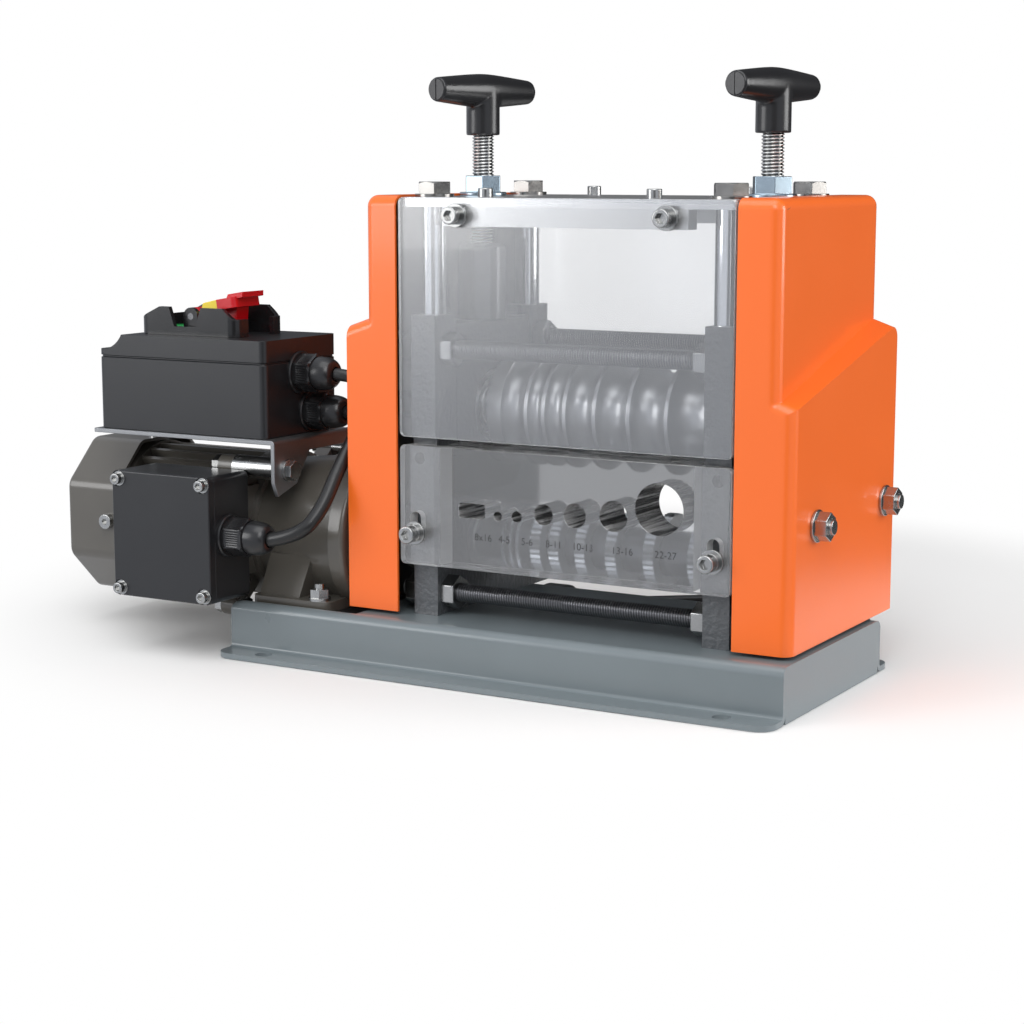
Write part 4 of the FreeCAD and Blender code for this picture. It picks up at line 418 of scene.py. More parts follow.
# Lower bearings, shaft and cutting rings
# The driven shaft is turned steel and runs in a ball bearing at each end. Six knurled rings grip the round
# cables and three thin toothed discs slit the flat one. A split-bore coupling joins it to the gear's shaft.
steel_grey = (0.56, 0.57, 0.58, 1)
turned_values = {"Across X": 2600.0, "Across Y": 12.0, "Across Z": 12.0}
knurl_values = {"Across X": 60.0, "Across Y": 1100.0, "Across Z": 1100.0}
turned_steel = finish("turned_steel", steel_grey, 0.27, metallic=1.0, effect=streaks, values=turned_values,
                      bump=0.25, depth=0.00006, shade=0.14, sheen_change=0.07)
oiled_black = (0.16, 0.16, 0.165, 1)
black_steel = finish("black_steel", oiled_black, 0.24, metallic=0.9,
                     values={"Size": 0.0008, "Blotch": 0.01}, bump=0.2)
# The rings are paler than the shaft's steel: painted light, as they stand in shade under the roller.
knurl_painted_light = (0.8, 0.81, 0.82, 1)
knurled_steel = finish("knurled_steel", knurl_painted_light, 0.34, metallic=1.0, effect=streaks, values=knurl_values,
                       bump=0.5, depth=0.0002, shade=0.12, sheen_change=0.08)
dress(turned_steel, "lower_bearings", "cutter_discs")
dress(knurled_steel, "drive_rings")
dress(black_steel, "lower_shaft", "output_shaft")
softened("drive_coupling", black_steel, edge=0.0005)


# Tie rods and their nuts
# Four lengths of blackened M10 threaded rod hold the frames apart, each with a nut on both faces of each
# frame. The thread's crests are painted lighter and its roots darker, as painted highlights and painted
# shade.
thread_dark = (0.13, 0.13, 0.135, 1)
tie_radius = 0.005
tie_pitch = 0.0015
tie_sides = 20
tie_rows_a_pitch = 6
thread_share = 0.55
thread_sharp = 1.2


def ring_surface(name, points, sharp=0.6, crest=None):
    """A closed mesh through rows of points: each row joined to the next by quads, with a face over both ends.
    The value crest of each point is kept with the mesh."""
    rows, sides = points.shape[:2]
    index = np.arange(rows * sides).reshape(rows, sides)
    ahead = np.roll(index, -1, axis=1)
    quads = np.stack([index[:-1], ahead[:-1], ahead[1:], index[1:]], axis=-1).reshape(-1, 4)
    mesh = bpy.data.meshes.new(name)
    mesh.from_pydata(points.reshape(-1, 3).tolist(), [],
                     quads.tolist() + [index[0, ::-1].tolist(), index[-1].tolist()])
    mesh.shade_smooth()
    mesh.set_sharp_from_angle(angle=sharp)
    if crest is not None:
        mesh.attributes.new("crest", "FLOAT", "POINT").data.foreach_set("value", np.ravel(crest))
    return mesh


def turned_points(heights, radii, sides, axis="Z", start=(0, 0, 0)):
    """A grid on a body of revolution: row by height, column by angle, at radius r(height, angle) about the
    axis, with height 0 at start."""
    angle = np.linspace(0, 2 * np.pi, sides, endpoint=False)
    heights = np.broadcast_to(np.asarray(heights, float)[:, None], (len(heights), sides))
    radii = np.broadcast_to(radii, heights.shape)
    local = np.stack([radii * np.cos(angle), radii * np.sin(angle), heights], axis=-1)
    return np.roll(local, {"X": 1, "Y": 2, "Z": 0}[axis], axis=-1) + np.asarray(start)


def thread(heights, sides, radius, pitch):
    """The radius r(h, a) of a right-hand thread: a cosine ridge that climbs one pitch in each turn."""
    angle = np.linspace(0, 2 * np.pi, sides, endpoint=False)
    turns = np.asarray(heights)[:, None] / pitch - angle / (2 * np.pi)
    return radius - thread_share * pitch * (0.5 - 0.5 * np.cos(2 * np.pi * turns))


def joined(name, meshes):
    """One mesh from several, without merging anything."""
    work = bmesh.new()
    for part in meshes:
        work.from_mesh(part)
    whole = bpy.data.meshes.new(name)
    work.to_mesh(whole)
    work.free()
    return whole


def crest_group():
    """Mask: the mesh's own crest value, 0 at a thread's root and 1 at its top. Height is fine noise."""
    group, given, result = effect_group("crests", [("Size", 0.001)], ["Mask", "Height"])
    worn = group.nodes.new("ShaderNodeAttribute")
    worn.attribute_name = "crest"
    noise = group.nodes.new("ShaderNodeTexNoise")
    place = group.nodes.new("ShaderNodeTexCoord")
    count = group.nodes.new("ShaderNodeMath")
    count.operation = "DIVIDE"
    count.inputs[0].default_value = 1.0
    link(group, given, "Size", count, 1)
    link(group, count, "Value", noise, "Scale")
    link(group, place, "Object", noise, "Vector")
    link(group, worn, "Fac", result, "Mask")
    link(group, noise, "Fac", result, "Height")
    return group


crests = crest_group()
# Pale crests and dark roots: painted highlights and painted shade on the thread.
thread_black = finish("thread_black", thread_dark, 0.3, metallic=1.0, effect=crests, bump=0.05, shade=0.9)
rods_low, rods_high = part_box("tie_rods")
rod_length = rods_high[0] - rods_low[0]
rod_heights = np.linspace(0, rod_length, int(rod_length / tie_pitch * tie_rows_a_pitch))
rod_radii = thread(rod_heights, tie_sides, tie_radius, tie_pitch)
rod_radii[[0, -1]] = tie_radius - tie_pitch
rod_crests = (rod_radii - rod_radii.min()) / np.ptp(rod_radii)
tie_rods = []
for y in (rods_low[1] + tie_radius, rods_high[1] - tie_radius):
    for z in (rods_low[2] + tie_radius, rods_high[2] - tie_radius):
        rod_points = turned_points(rod_heights, rod_radii, tie_sides, "X", (rods_low[0], y, z))
        tie_rods.append(ring_surface("tie_rod", rod_points, thread_sharp, rod_crests))
settle(add_object("threaded_tie_rods", joined("threaded_tie_rods", tie_rods)), "tie_rods", thread_black)
softened("tie_rod_nuts", zinc, edge=0.0004)


# Columns, top plate and screw nuts
# Four chromed columns stand on the posts and carry a plate of brushed aluminium under nickel-plated hexagon
# bolts. The two pressure screws run in flanged nuts on the plate, zinc plated with a blue passivation.
chrome_white = (0.82, 0.83, 0.84, 1)
chrome_values = {"Across X": 900.0, "Across Y": 900.0, "Across Z": 30.0}
chrome = finish("chrome", chrome_white, 0.07, metallic=1.0, effect=streaks, values=chrome_values, bump=0.05,
                depth=0.00003, shade=0.04, sheen_change=0.03)
plate_white = (0.7, 0.7, 0.7, 1)
plate_values = {"Across X": 8.0, "Across Y": 1800.0, "Across Z": 1800.0}
brushed_plate = finish("brushed_plate", plate_white, 0.28, metallic=1.0, effect=streaks, values=plate_values,
                       bump=0.2, depth=0.00005)
blue_zinc_colour = (0.36, 0.44, 0.5, 1)
blue_zinc = finish("blue_zinc", blue_zinc_colour, 0.22, metallic=1.0,
                   values={"Size": 0.001, "Blotch": 0.008}, bump=0.1, shade=0.12)
dress(chrome, "spacer_columns")
softened("top_plate", brushed_plate, edge=0.0006)
nickel_grey = (0.3, 0.29, 0.275, 1)
nickel = finish("nickel", nickel_grey, 0.2, metallic=1.0, values={"Size": 0.0009, "Blotch": 0.006},
                bump=0.1, shade=0.12, sheen_change=0.08)
softened("column_bolts", nickel, edge=0.0004)
softened("screw_nuts", blue_zinc, edge=0.0006)


# Hanger bars and guards
# A square aluminium bar under each long edge of the plate holds a 4 mm sheet of clear acrylic by two socket
# screws on dark spacers. The sheets have polished faces, and sawn edges that catch the light.
bar_white = (0.88, 0.89, 0.9, 1)
bright_bar = finish("bright_bar", bar_white, 0.25, metallic=0.3, values={"Size": 0.001, "Blotch": 0.03},
                    bump=0.05)
sheet_gap = 0.0001
sheet_tint = (0.99, 0.995, 1.0, 1)
edge_tint = (0.96, 0.97, 0.98, 1)
faint_gloss = (0.3, 0.3, 0.3, 1)
tool_marks = {"Across X": 420.0, "Across Y": 14.0, "Across Z": 420.0}
acrylic_ior = 1.49
haze_ior = 2.3
haze_roughness = 0.27
front_and_back = 0.9


def acrylic(name, colour, roughness, clear, bump=0.0, haze=0.0, effect=streaks, values=tool_marks,
            shade=0.02):
    """Clear plastic. Less than 1 of clear gives it a milky body, and haze a soft sheen over the surface."""
    return finish(name, colour, roughness, effect=effect, bump=bump, depth=0.0004, shade=shade, values=values,
                  sheen_change=0.01, IOR=acrylic_ior, Transmission_Weight=clear, Specular_Tint=faint_gloss,
                  Coat_Weight=haze, Coat_IOR=haze_ior, Coat_Roughness=haze_roughness)


def face_facts(piece):
    """Every face's normal and centre, as two arrays of rows."""
    count = len(piece.data.polygons)
    normals, centres = np.empty(3 * count), np.empty(3 * count)
    piece.data.polygons.foreach_get("normal", normals)
    piece.data.polygons.foreach_get("center", centres)
    return normals.reshape(-1, 3), centres.reshape(-1, 3)


def face_finishes(piece, *choices):
    """More materials for a piece, each with a mask of the faces that it goes on."""
    index = np.zeros(len(piece.data.polygons), int)
    for number, (material, mask) in enumerate(choices, 1):
        piece.data.materials.append(material)
        index[mask] = number
    piece.data.polygons.foreach_set("material_index", index)


polished = acrylic("polished_acrylic", sheet_tint, 0.02, 1.0, haze=0.9)
sawn = acrylic("sawn_acrylic", edge_tint, 0.22, 0.4, bump=0.6)
softened("hanger_bars", bright_bar, edge=0.0005, slot="aluminium")
for guard, side in (("upper_guard", -1), ("rear_guard", 1)):
    sheet = softened(guard, polished, edge=0.0004, shift=(0, side * sheet_gap, 0))
    face_finishes(sheet, (sawn, np.abs(face_facts(sheet)[0][:, 1]) < front_and_back))
softened("guard_screws", zinc, edge=0.0003)


# Guide block
# A thick block of clear acrylic with a slot and six bored channels that lead each cable to its cutting ring.
# It hangs by a flange on the front posts, and its screws sit in upright slots so that it can be set in
# height. The outer edges are sawn. The back faces are tinted grey and painted darker above the bores, as
# painted shade. The bores are turned, and their clear walls are also half metallic with dark and bright
# streaks along each bore, as painted reflections.
bore_side = 0.0725
core_back = -0.03
rim_reach = 0.001
# A grey tint on the back faces, darker above the bores: painted shade.
back_shade_tint = (0.26, 0.27, 0.29, 1)
painted_shade_from = 0.097
painted_shade_to = 0.087
milled_grey = (0.6, 0.61, 0.63, 1)
milled_values = {"Across X": 60.0, "Across Y": 500.0, "Across Z": 500.0, "Low": 0.4, "High": 0.6}
# Streaks along each bore for the bore walls' painted reflections.
reflection_streak_values = {"Across X": 420.0, "Across Y": 10.0, "Across Z": 420.0, "Low": 0.44, "High": 0.56}


def level_group():
    """Mask: 0 at the height From and 1 at the height To, smoothly. Height is fine noise."""
    group, given, result = effect_group("level", [("From", 0.1), ("To", 0.0)], ["Mask", "Height"])
    place = group.nodes.new("ShaderNodeTexCoord")
    split = group.nodes.new("ShaderNodeSeparateXYZ")
    ramp = ramp_node(group, 0.1, 0.0, 0.0, 1.0)
    noise = group.nodes.new("ShaderNodeTexNoise")
    noise.inputs["Scale"].default_value = 400.0
    link(group, place, "Object", split, "Vector")
    link(group, place, "Object", noise, "Vector")
    link(group, split, "Z", ramp, "Value")
    link(group, given, "From", ramp, "From Min")
    link(group, given, "To", ramp, "From Max")
    link(group, ramp, "Result", result, "Mask")
    link(group, noise, "Fac", result, "Height")
    return group


block_face = acrylic("block_face", sheet_tint, 0.02, 0.95, haze=0.8)
# The back faces: grey, and painted darker from the bores upward, as painted shade.
block_back_shade = acrylic("block_back_shade", back_shade_tint, 0.14, 0.93, effect=level_group(),
                     values={"From": painted_shade_from, "To": painted_shade_to}, shade=0.88)
block_edge = acrylic("block_edge", milled_grey, 0.12, 0.5, bump=0.8, shade=0.7, values=milled_values)
# Bore walls: half metallic, with dark and bright streaks along the bore, as painted reflections.
bore_painted_reflection = finish("bore_painted_reflection", sheet_tint, 0.1, metallic=0.5, effect=streaks, values=reflection_streak_values, bump=1.0,
                   depth=0.0012, shade=0.9, IOR=acrylic_ior, Transmission_Weight=0.45, sheen_change=0.03)
guide_block = softened("guide_block", block_face, edge=0.0005)
block_low, block_high = (np.array(corner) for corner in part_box("guide_block"))
block_middle = (block_low + block_high) / 2
facing, middles = face_facts(guide_block)
from_middle = np.abs(middles - block_middle)
around = np.abs(facing[:, 1]) < front_and_back
at_sides = around & (from_middle[:, 0] > bore_side)
at_rims = around & (from_middle[:, 2] > block_high[2] - block_middle[2] - rim_reach)
behind = ~around & (middles[:, 1] > core_back)
face_finishes(guide_block, (bore_painted_reflection, around), (sawn, at_sides), (block_edge, at_rims), (block_back_shade, behind))


# Size marks
# The cable diameter that each channel takes, engraved on the guide block's face below it and filled with
# dark grey.
mark_grey = (0.05, 0.05, 0.053, 1)
mark_height = 0.0054
mark_level = 0.0746
mark_lift = 0.00003
size_marks = (("8x16", -0.0455), ("4-5", -0.0326), ("5-6", -0.0188), ("8-11", -0.0028), ("10-13", 0.0143),
              ("13-16", 0.0372), ("22-27", 0.0618))
mark_fill = finish("mark_fill", mark_grey, 0.6, values={"Size": 0.0005, "Blotch": 0.004}, shade=0.3)


def made_mesh(holder):
    """An object's finished form as a mesh. The object itself goes."""
    mesh = bpy.data.meshes.new_from_object(holder.evaluated_get(bpy.context.evaluated_depsgraph_get()))
    bpy.data.objects.remove(holder)
    return mesh


def lettering(name, words, height):
    """Flat text as a mesh, centred on its own origin."""
    curve = bpy.data.curves.new(name, "FONT")
    curve.body = words
    curve.size = height
    curve.align_x = "CENTER"
    curve.extrude = mark_lift
    return made_mesh(add_object(name, curve))


def mesh_points(mesh):
    """The mesh's points, as an array of rows."""
    points = np.empty(3 * len(mesh.vertices))
    mesh.vertices.foreach_get("co", points)
    return points.reshape(-1, 3)


marks = []
for words, right_of_middle in size_marks:
    mark = lettering("mark", words, mark_height)
    across, up, out = mesh_points(mark).T
    across = across + block_middle[0] + right_of_middle
    mark.vertices.foreach_set("co", np.column_stack([across, block_low[1] - out, up + mark_level]).ravel())
    marks.append(mark)
settle(add_object("size_marks", joined("size_marks", marks)), "guide_block", mark_fill, standing_for=(),
       slot="black_plastic")
softened("guide_screws", zinc, edge=0.0003)


# Carriage: bearing blocks, upper roller and cups
# Two iron blocks slide between the posts and carry the upper roller in ball bearings. The roller is turned
# from one steel bar, with a round groove over each channel, and satin chromed. A cup on each block holds its
# screw. The right block has a little play from the cover's studs.
roller_chrome_colour = (0.45, 0.455, 0.465, 1)
roller_chrome = finish("roller_chrome", roller_chrome_colour, 0.38, metallic=1.0, effect=streaks,
                       values=turned_values, bump=0.15, depth=0.00005, shade=0.1)
block_play = 0.0001
for side, play in (("left", 0), ("right", -block_play)):
    softened(f"{side}_bearing_block", hammer_paint, edge=0.0006, shift=(play, 0, 0))
dress(turned_steel, "upper_bearings", "upper_shaft")
dress(black_steel, "screw_cups")
dress(roller_chrome, "grooved_roller")


# Pressure screws
# M12 zinc-plated screws with a plain collar that turns in the cup below and a moulded handle pressed on
# above. The thread's roots are painted darker and its crests lighter, as painted shade and painted
# highlights.
screw_radius = 0.006
screw_pitch = 0.00175
screw_sides = 32
screw_rows_a_pitch = 8
screw_collar = 0.009
screw_collar_height = 0.005
thread_white = (0.46, 0.46, 0.45, 1)
# Dark roots and pale crests: painted shade and painted highlights on the thread.
thread_zinc = finish("thread_zinc", thread_white, 0.24, metallic=1.0, effect=crests, bump=0.05, shade=0.8)
for side in ("left", "right"):
    low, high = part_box(f"{side}_pressure_screw")
    length = high[2] - low[2]
    shank_rows = int((length - screw_collar_height) / screw_pitch * screw_rows_a_pitch)
    shank = np.linspace(screw_collar_height, length, shank_rows)
    radii = thread(shank, screw_sides, screw_radius, screw_pitch)
    radii[-1] = screw_radius - screw_pitch
    collar = np.full((2, screw_sides), screw_collar)
    heights = np.concatenate([[0, screw_collar_height], shank])
    place = ((low[0] + high[0]) / 2, (low[1] + high[1]) / 2, low[2])
    radii = np.vstack([collar, radii])
    crest = np.clip((radii - screw_radius) / (thread_share * screw_pitch) + 1, 0, 1)
    points = turned_points(heights, radii, screw_sides, "Z", place)
    screw = ring_surface("screw", points, thread_sharp, crest)
    settle(add_object(f"{side}_threaded_screw", screw), f"{side}_pressure_screw", thread_zinc)


# T handles
# Black nylon handles moulded over a steel insert: a round hub that runs into a cross bar, thickest in its
# middle, with a slotted plug in each end of the bar.
nylon_black = (0.01, 0.01, 0.011, 1)
bar_turns = {"left": -102.0, "right": -98.0}
bar_half = 0.037
bar_middle_radius = 0.0092
bar_end_radius = 0.0065
bar_bend = 0.25
bar_rows = 75
hub_radius = 0.00925
hub_drop = 0.024
hub_rows = 25
handle_sides = 48
moulding_grain = 0.0007
moulding_rounds = 6
plug_radius = 0.0055
plug_slot = 0.0005
plug_proud = 0.0004
plug_arc_points = 25
nylon = finish("nylon", nylon_black, 0.3, values={"Size": 0.0008, "Blotch": 0.02}, bump=0.12,
               Coat_Weight=0.15, Coat_Roughness=0.12)
plug_grey = (0.05, 0.05, 0.052, 1)
plug_nylon = finish("plug_nylon", plug_grey, 0.4, values={"Size": 0.0008, "Blotch": 0.004}, bump=0.15)


def moulded(name, shells, voxel, rounds):
    """Closed shells run together as in one mould: a voxel remesh joins them and smoothing rounds corners."""
    holder = add_object(name, joined(name, shells))
    remesh = holder.modifiers.new("join", "REMESH")
    remesh.mode = "VOXEL"
    remesh.voxel_size = voxel
    smooth = holder.modifiers.new("round", "SMOOTH")
    smooth.factor = 0.5
    smooth.iterations = rounds
    mesh = made_mesh(holder)
    mesh.shade_smooth()
    return mesh


def half_disc(side, height):
    """Half of a round plug beside its slot: an arc of the circle and the chord at plug_slot, in two rows."""
    reach = math.acos(plug_slot / plug_radius)
    angle = np.linspace(-reach, reach, plug_arc_points) + (0 if side > 0 else np.pi)
    outline = np.stack([plug_radius * np.cos(angle), plug_radius * np.sin(angle), 0 * angle], axis=-1)
    return np.stack([outline, outline + [0, 0, height]])


def lifted(mesh, turn, place):
    """Turn a mesh from its own axes, X along the bar, to the handle's place. The turn is about Z."""
    x, y, z = mesh_points(mesh).T
    c, s = math.cos(math.radians(turn)), math.sin(math.radians(turn))
    turned = np.stack([c * x - s * y, s * x + c * y, z], axis=-1)
    mesh.vertices.foreach_set("co", (turned + np.asarray(place)).ravel())
    mesh.update()
    return mesh


for side, turn in bar_turns.items():
    low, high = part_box(f"{side}_t_handle")
    middle = ((low[0] + high[0]) / 2, (low[1] + high[1]) / 2, low[2] + hub_drop)
    along = np.linspace(-bar_half, bar_half, bar_rows)
    fall = (np.hypot(along / bar_half, bar_bend) - bar_bend) / (math.hypot(1, bar_bend) - bar_bend)
    swell = bar_middle_radius - (bar_middle_radius - bar_end_radius) * fall
    bar = ring_surface("bar", turned_points(along, swell[:, None], handle_sides, "X"))
    hub_heights = np.linspace(-hub_drop, 0, hub_rows)
    hub = ring_surface("hub", turned_points(hub_heights, hub_radius, handle_sides, "Z"))
    body = moulded(f"{side}_handle_body", [bar, hub], moulding_grain, moulding_rounds)
    settle(add_object(f"{side}_handle_body", lifted(body, turn, middle)), f"{side}_t_handle", nylon)
    plugs = []
    for end in (-1, 1):
        for half in (-1, 1):
            disc = np.roll(half_disc(half, 2 * plug_proud), 1, axis=-1)
            outward = disc if end > 0 else disc * [-1, -1, 1]
            plugs.append(ring_surface("plug", outward + [end * (bar_half - plug_proud), 0, 0]))
    plug_mesh = lifted(joined(f"{side}_handle_plugs", plugs), turn, middle)
    settle(add_object(f"{side}_handle_plugs", plug_mesh), f"{side}_t_handle", plug_nylon, standing_for=())


# Covers and their studs
# Bent and welded steel boxes over the frames, stepped in above. They are powder coated a strong orange with a
# soft gloss and a fine orange peel. Their inner faces are painted dark grey, as painted shade inside the
# boxes. Studs from the frames hold them with nuts.
cover_orange = (1.0, 0.165, 0.012, 1)
# Dark grey for the covers' inner faces: painted shade in the hollow of each box.
inner_shade_grey = (0.045, 0.04, 0.038, 1)
powder_coat = finish("powder_coat", cover_orange, 0.38, values={"Size": 0.0011, "Blotch": 0.06}, bump=0.12,
                     depth=0.00015, shade=0.03, Coat_Weight=0.5, Coat_Roughness=0.12)
inner_painted_shade = finish("inner_painted_shade", inner_shade_grey, 0.6, values={"Size": 0.001, "Blotch": 0.04})
for side in ("left", "right"):
    shell = softened(f"{side}_cover", powder_coat, edge=0.0004)
    facing, middles = face_facts(shell)
    inside = np.mean(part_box(f"{side}_cover"), axis=0)
    # The faces that look into the cover's middle get the dark grey: painted shade in place of the orange in
    # shade.
    face_finishes(shell, (inner_painted_shade, ((inside - middles) * facing).sum(axis=1) > 0))
softened("cover_studs", zinc, edge=0.0003)


# Gear head and motor
# A die-cast gear head on a foot, bolted to a finned motor. The cowl over the fan is pressed steel. All three
# are sprayed the same dark warm grey, which lies thick and satin over the sand-blasted metal.
cast_grey = (0.098, 0.091, 0.079, 1)
cast_paint = finish("cast_paint", cast_grey, 0.33, values={"Size": 0.0009, "Blotch": 0.02}, bump=0.15,
                    depth=0.00012, Coat_Weight=0.5, Coat_Roughness=0.16)
lamination_grey = (0.2, 0.2, 0.2, 1)
lamination = finish("lamination", lamination_grey, 0.45, metallic=1.0, effect=streaks, values=turned_values)
fan_black = (0.02, 0.02, 0.02, 1)
fan_plastic = finish("fan_plastic", fan_black, 0.5, values={"Size": 0.001, "Blotch": 0.02})
for node in ("gear_head", "motor_body", "fan_cowl"):
    softened(node, cast_paint, edge=0.0005)
dress(lamination, "motor_stator", "motor_rotor")
softened("cooling_fan", fan_plastic)


# Junction box
# A plain moulded box on the motor's side, with a lid held by four socket screws on washers. The black plastic
# has the fine dull texture of a spark-eroded mould.
case_black = (0.008, 0.0083, 0.0095, 1)
case_plastic = finish("case_plastic", case_black, 0.34, values={"Size": 0.0006, "Blotch": 0.03}, bump=0.16,
                      shade=0.12, Coat_Weight=0.25, Coat_Roughness=0.22)
softened("junction_box", case_plastic, edge=0.0006)
softened("junction_lid", case_plastic, edge=0.0006)
softened("case_screws", zinc, edge=0.0002)


# Switch bracket
# A bright zinc-plated sheet with a flange bent down at the right, on round standoffs that are bolted to the
# motor's corner ears.
bracket_white = (0.3, 0.305, 0.31, 1)
bracket_values = {"Across X": 10.0, "Across Y": 900.0, "Across Z": 900.0}
bracket_sheet = finish("bracket_sheet", bracket_white, 0.4, metallic=1.0, effect=streaks,
                       values=bracket_values, bump=0.12, depth=0.00005, shade=0.1)
softened("switch_bracket", bracket_sheet, edge=0.0004)
softened("bracket_spacers", zinc, edge=0.0003)


# Switch box and controls
# A moulded box and lid with a glossier collar round the controls. The stop lever is a red flap with a yellow
# band that swings over the stop button, and the start button is green. Both buttons sit a hair high, so that
# they clear the floor of their wells when pressed.
gloss_black = (0.011, 0.011, 0.012, 1)
signal_red = (0.62, 0.006, 0.014, 1)
band_yellow = (0.86, 0.66, 0.03, 1)
start_green = (0.01, 0.3, 0.06, 1)
moulded_values = {"Size": 0.002, "Blotch": 0.01}
collar_plastic = finish("collar_plastic", gloss_black, 0.22, values={"Size": 0.002, "Blotch": 0.02},
                        bump=0.05)
red = finish("red", signal_red, 0.24, values=moulded_values, bump=0.06, shade=0.05)
yellow = finish("yellow", band_yellow, 0.3, values=moulded_values, bump=0.06)
green = finish("green", start_green, 0.24, values=moulded_values, bump=0.06)
softened("switch_box", case_plastic, edge=0.0006)
softened("switch_lid", case_plastic, edge=0.0005)
softened("switch_guard", collar_plastic, edge=0.0007)
dress(black_steel, "flap_pin")
softened("emergency_flap", red, edge=0.0007)
softened("flap_band", yellow, edge=0.0004)
button_play = 0.0001
softened("start_button", green, edge=0.0003, shift=(0, 0, button_play))
softened("stop_button", red, edge=0.0003, shift=(0, 0, button_play))


# Cable glands
# Black nylon glands: a flange on the box, a ribbed hexagon nut, and a domed cap that squeezes the cable. For
# each, gland_places gives where it starts, how long its flange, nut and cap are, and its cable's radius.
gland_places = (((-0.1593, -0.0795, 0.069), 0.0025, 0.013, 0.013, 0.004),
                ((-0.1435, -0.031, 0.1565), 0.0015, 0.011, 0.012, 0.0035),
                ((-0.1435, -0.0207, 0.134), 0.0015, 0.011, 0.012, 0.004))
gland_sides = 144
gland_flat = 0.0095
gland_flange = 0.012
gland_cap = 0.0095
gland_chamfer = 0.0006
corner_cut = 0.0008
rib_depth = 0.00035
ribs_round = 48
ribs_along = (0.2, 0.8)
rib_ramp = 0.03
throat_in = 0.0007
throat_length = 0.0012
cap_step = 0.0002
dome_from = 0.0022
dome_power = 0.7
dome_rows = 9
mouth_gap = 0.0006
mouth_in = 0.0004
mouth_depth = 0.003


def gland_points(start, boss, nut, cap, cord):
    """Rows along the gland. Each row is a circle, a hexagon flat / cos(angle from the flat's middle) that is
    cut by a circle at its chamfers, or that hexagon less square ribs. The last rows turn in to the cord."""
    angle = np.linspace(0, 2 * np.pi, gland_sides, endpoint=False)
    from_flat = (angle + np.pi / 6) % (np.pi / 3) - np.pi / 6
    hexagon = gland_flat / np.cos(from_flat)
    corner = gland_flat / math.cos(math.pi / 6)
    ribbed = hexagon - rib_depth * (np.cos(ribs_round * angle) > 0)
    circle = np.ones(gland_sides)
    end = boss + nut
    throat = (gland_cap - throat_in) * circle
    ribs_start, ribs_end = ribs_along
    rows = [(0, gland_flange * circle), (boss - gland_chamfer, gland_flange * circle),
            (boss, (gland_flange - gland_chamfer) * circle), (boss, np.minimum(hexagon, corner - corner_cut)),
            (boss + gland_chamfer, hexagon), (boss + ribs_start * nut, hexagon),
            (boss + (ribs_start + rib_ramp) * nut, ribbed), (boss + ribs_end * nut, ribbed),
            (boss + (ribs_end + rib_ramp) * nut, hexagon), (end - gland_chamfer, hexagon),
            (end, np.minimum(hexagon, gland_cap + cap_step)), (end, throat), (end + throat_length, throat),
            (end + throat_length + cap_step, gland_cap * circle)]
    mouth = cord + mouth_gap
    for a in np.linspace(0, np.pi / 2, dome_rows):
        reach = mouth + (gland_cap - mouth) * math.cos(a) ** dome_power
        rows.append((end + dome_from + (cap - dome_from) * math.sin(a), reach * circle))
    rows += [(end + cap - mouth_in, (mouth - cap_step) * circle), (end + cap - mouth_depth, cord * circle)]
    heights = np.array([h for h, _ in rows])
    return turned_points(heights, np.stack([r for _, r in rows]), gland_sides, "X", start)


gland_meshes = [ring_surface("gland", gland_points(*place)) for place in gland_places]
settle(add_object("ribbed_glands", joined("ribbed_glands", gland_meshes)), "cable_glands", nylon)


# Motor cable
# The cable between the junction box and the switch box, 8 mm thick with a soft gloss rubber jacket. It leaves
# one gland to the right, rises in front of the gear head and bends back to the other.
rubber_black = (0.012, 0.012, 0.012, 1)
motor_cord_radius = 0.004
motor_route = ((-0.1308, -0.0795, 0.069), (-0.111, -0.079, 0.0725), (-0.1035, -0.068, 0.087),
               (-0.1023, -0.055, 0.106), (-0.1023, -0.038, 0.123), (-0.106, -0.024, 0.133),
               (-0.119, -0.0207, 0.134))
rubber = finish("rubber", rubber_black, 0.34, values={"Size": 0.0012, "Blotch": 0.02}, bump=0.12, shade=0.15)


def cord_curve(name, route, radius):
    """A round cord on one smooth spline that has the route as its control points."""
    curve = bpy.data.curves.new(name, "CURVE")
    curve.dimensions = "3D"
    curve.bevel_depth = radius
    curve.bevel_resolution = 6
    curve.resolution_u = 8
    curve.use_fill_caps = True
    spline = curve.splines.new("NURBS")
    spline.points.add(len(route) - 1)
    spline.points.foreach_set("co", np.column_stack([route, np.ones(len(route))]).ravel())
    spline.order_u = 3
    spline.use_endpoint_u = True
    return add_object(name, curve)


motor_cable = cord_curve("rubber_motor_cable", motor_route, motor_cord_radius)
settle(motor_cable, "motor_cable", rubber)


# Mains cord
# 1.8 m of 7 mm cord from the upper gland of the switch box down behind the head. The length that isn't used
# lies on the bench in a neat two-layer coil, and the end lies beside it with the plug.
mains_cord_radius = 0.0035
lead_route = ((-0.119, -0.031, 0.1565), (-0.1085, -0.0305, 0.1555), (-0.1033, -0.018, 0.1525),
              (-0.1035, 0.004, 0.1475), (-0.104, 0.038, 0.1355), (-0.1045, 0.072, 0.112),
              (-0.105, 0.095, 0.077), (-0.1045, 0.106, 0.04), (-0.1, 0.113, 0.015), (-0.086, 0.121, 0.004),
              (-0.06, 0.133, 0.0038), (-0.025, 0.154, 0.0038), (0.011, 0.182, 0.0038),
              (0.045, 0.1965, 0.0039))
tail_route = ((0.057, 0.0972, 0.0108), (0.033, 0.0995, 0.0064), (0.011, 0.1025, 0.0047),
              (-0.009, 0.103, 0.0046))
coil_middle = (0.08, 0.146)
coil_inner = 0.026
coil_pitch = 0.0083
coil_turns = 5.5
coil_bend = 0.2
coil_climb = 0.5
coil_floor = 0.0039
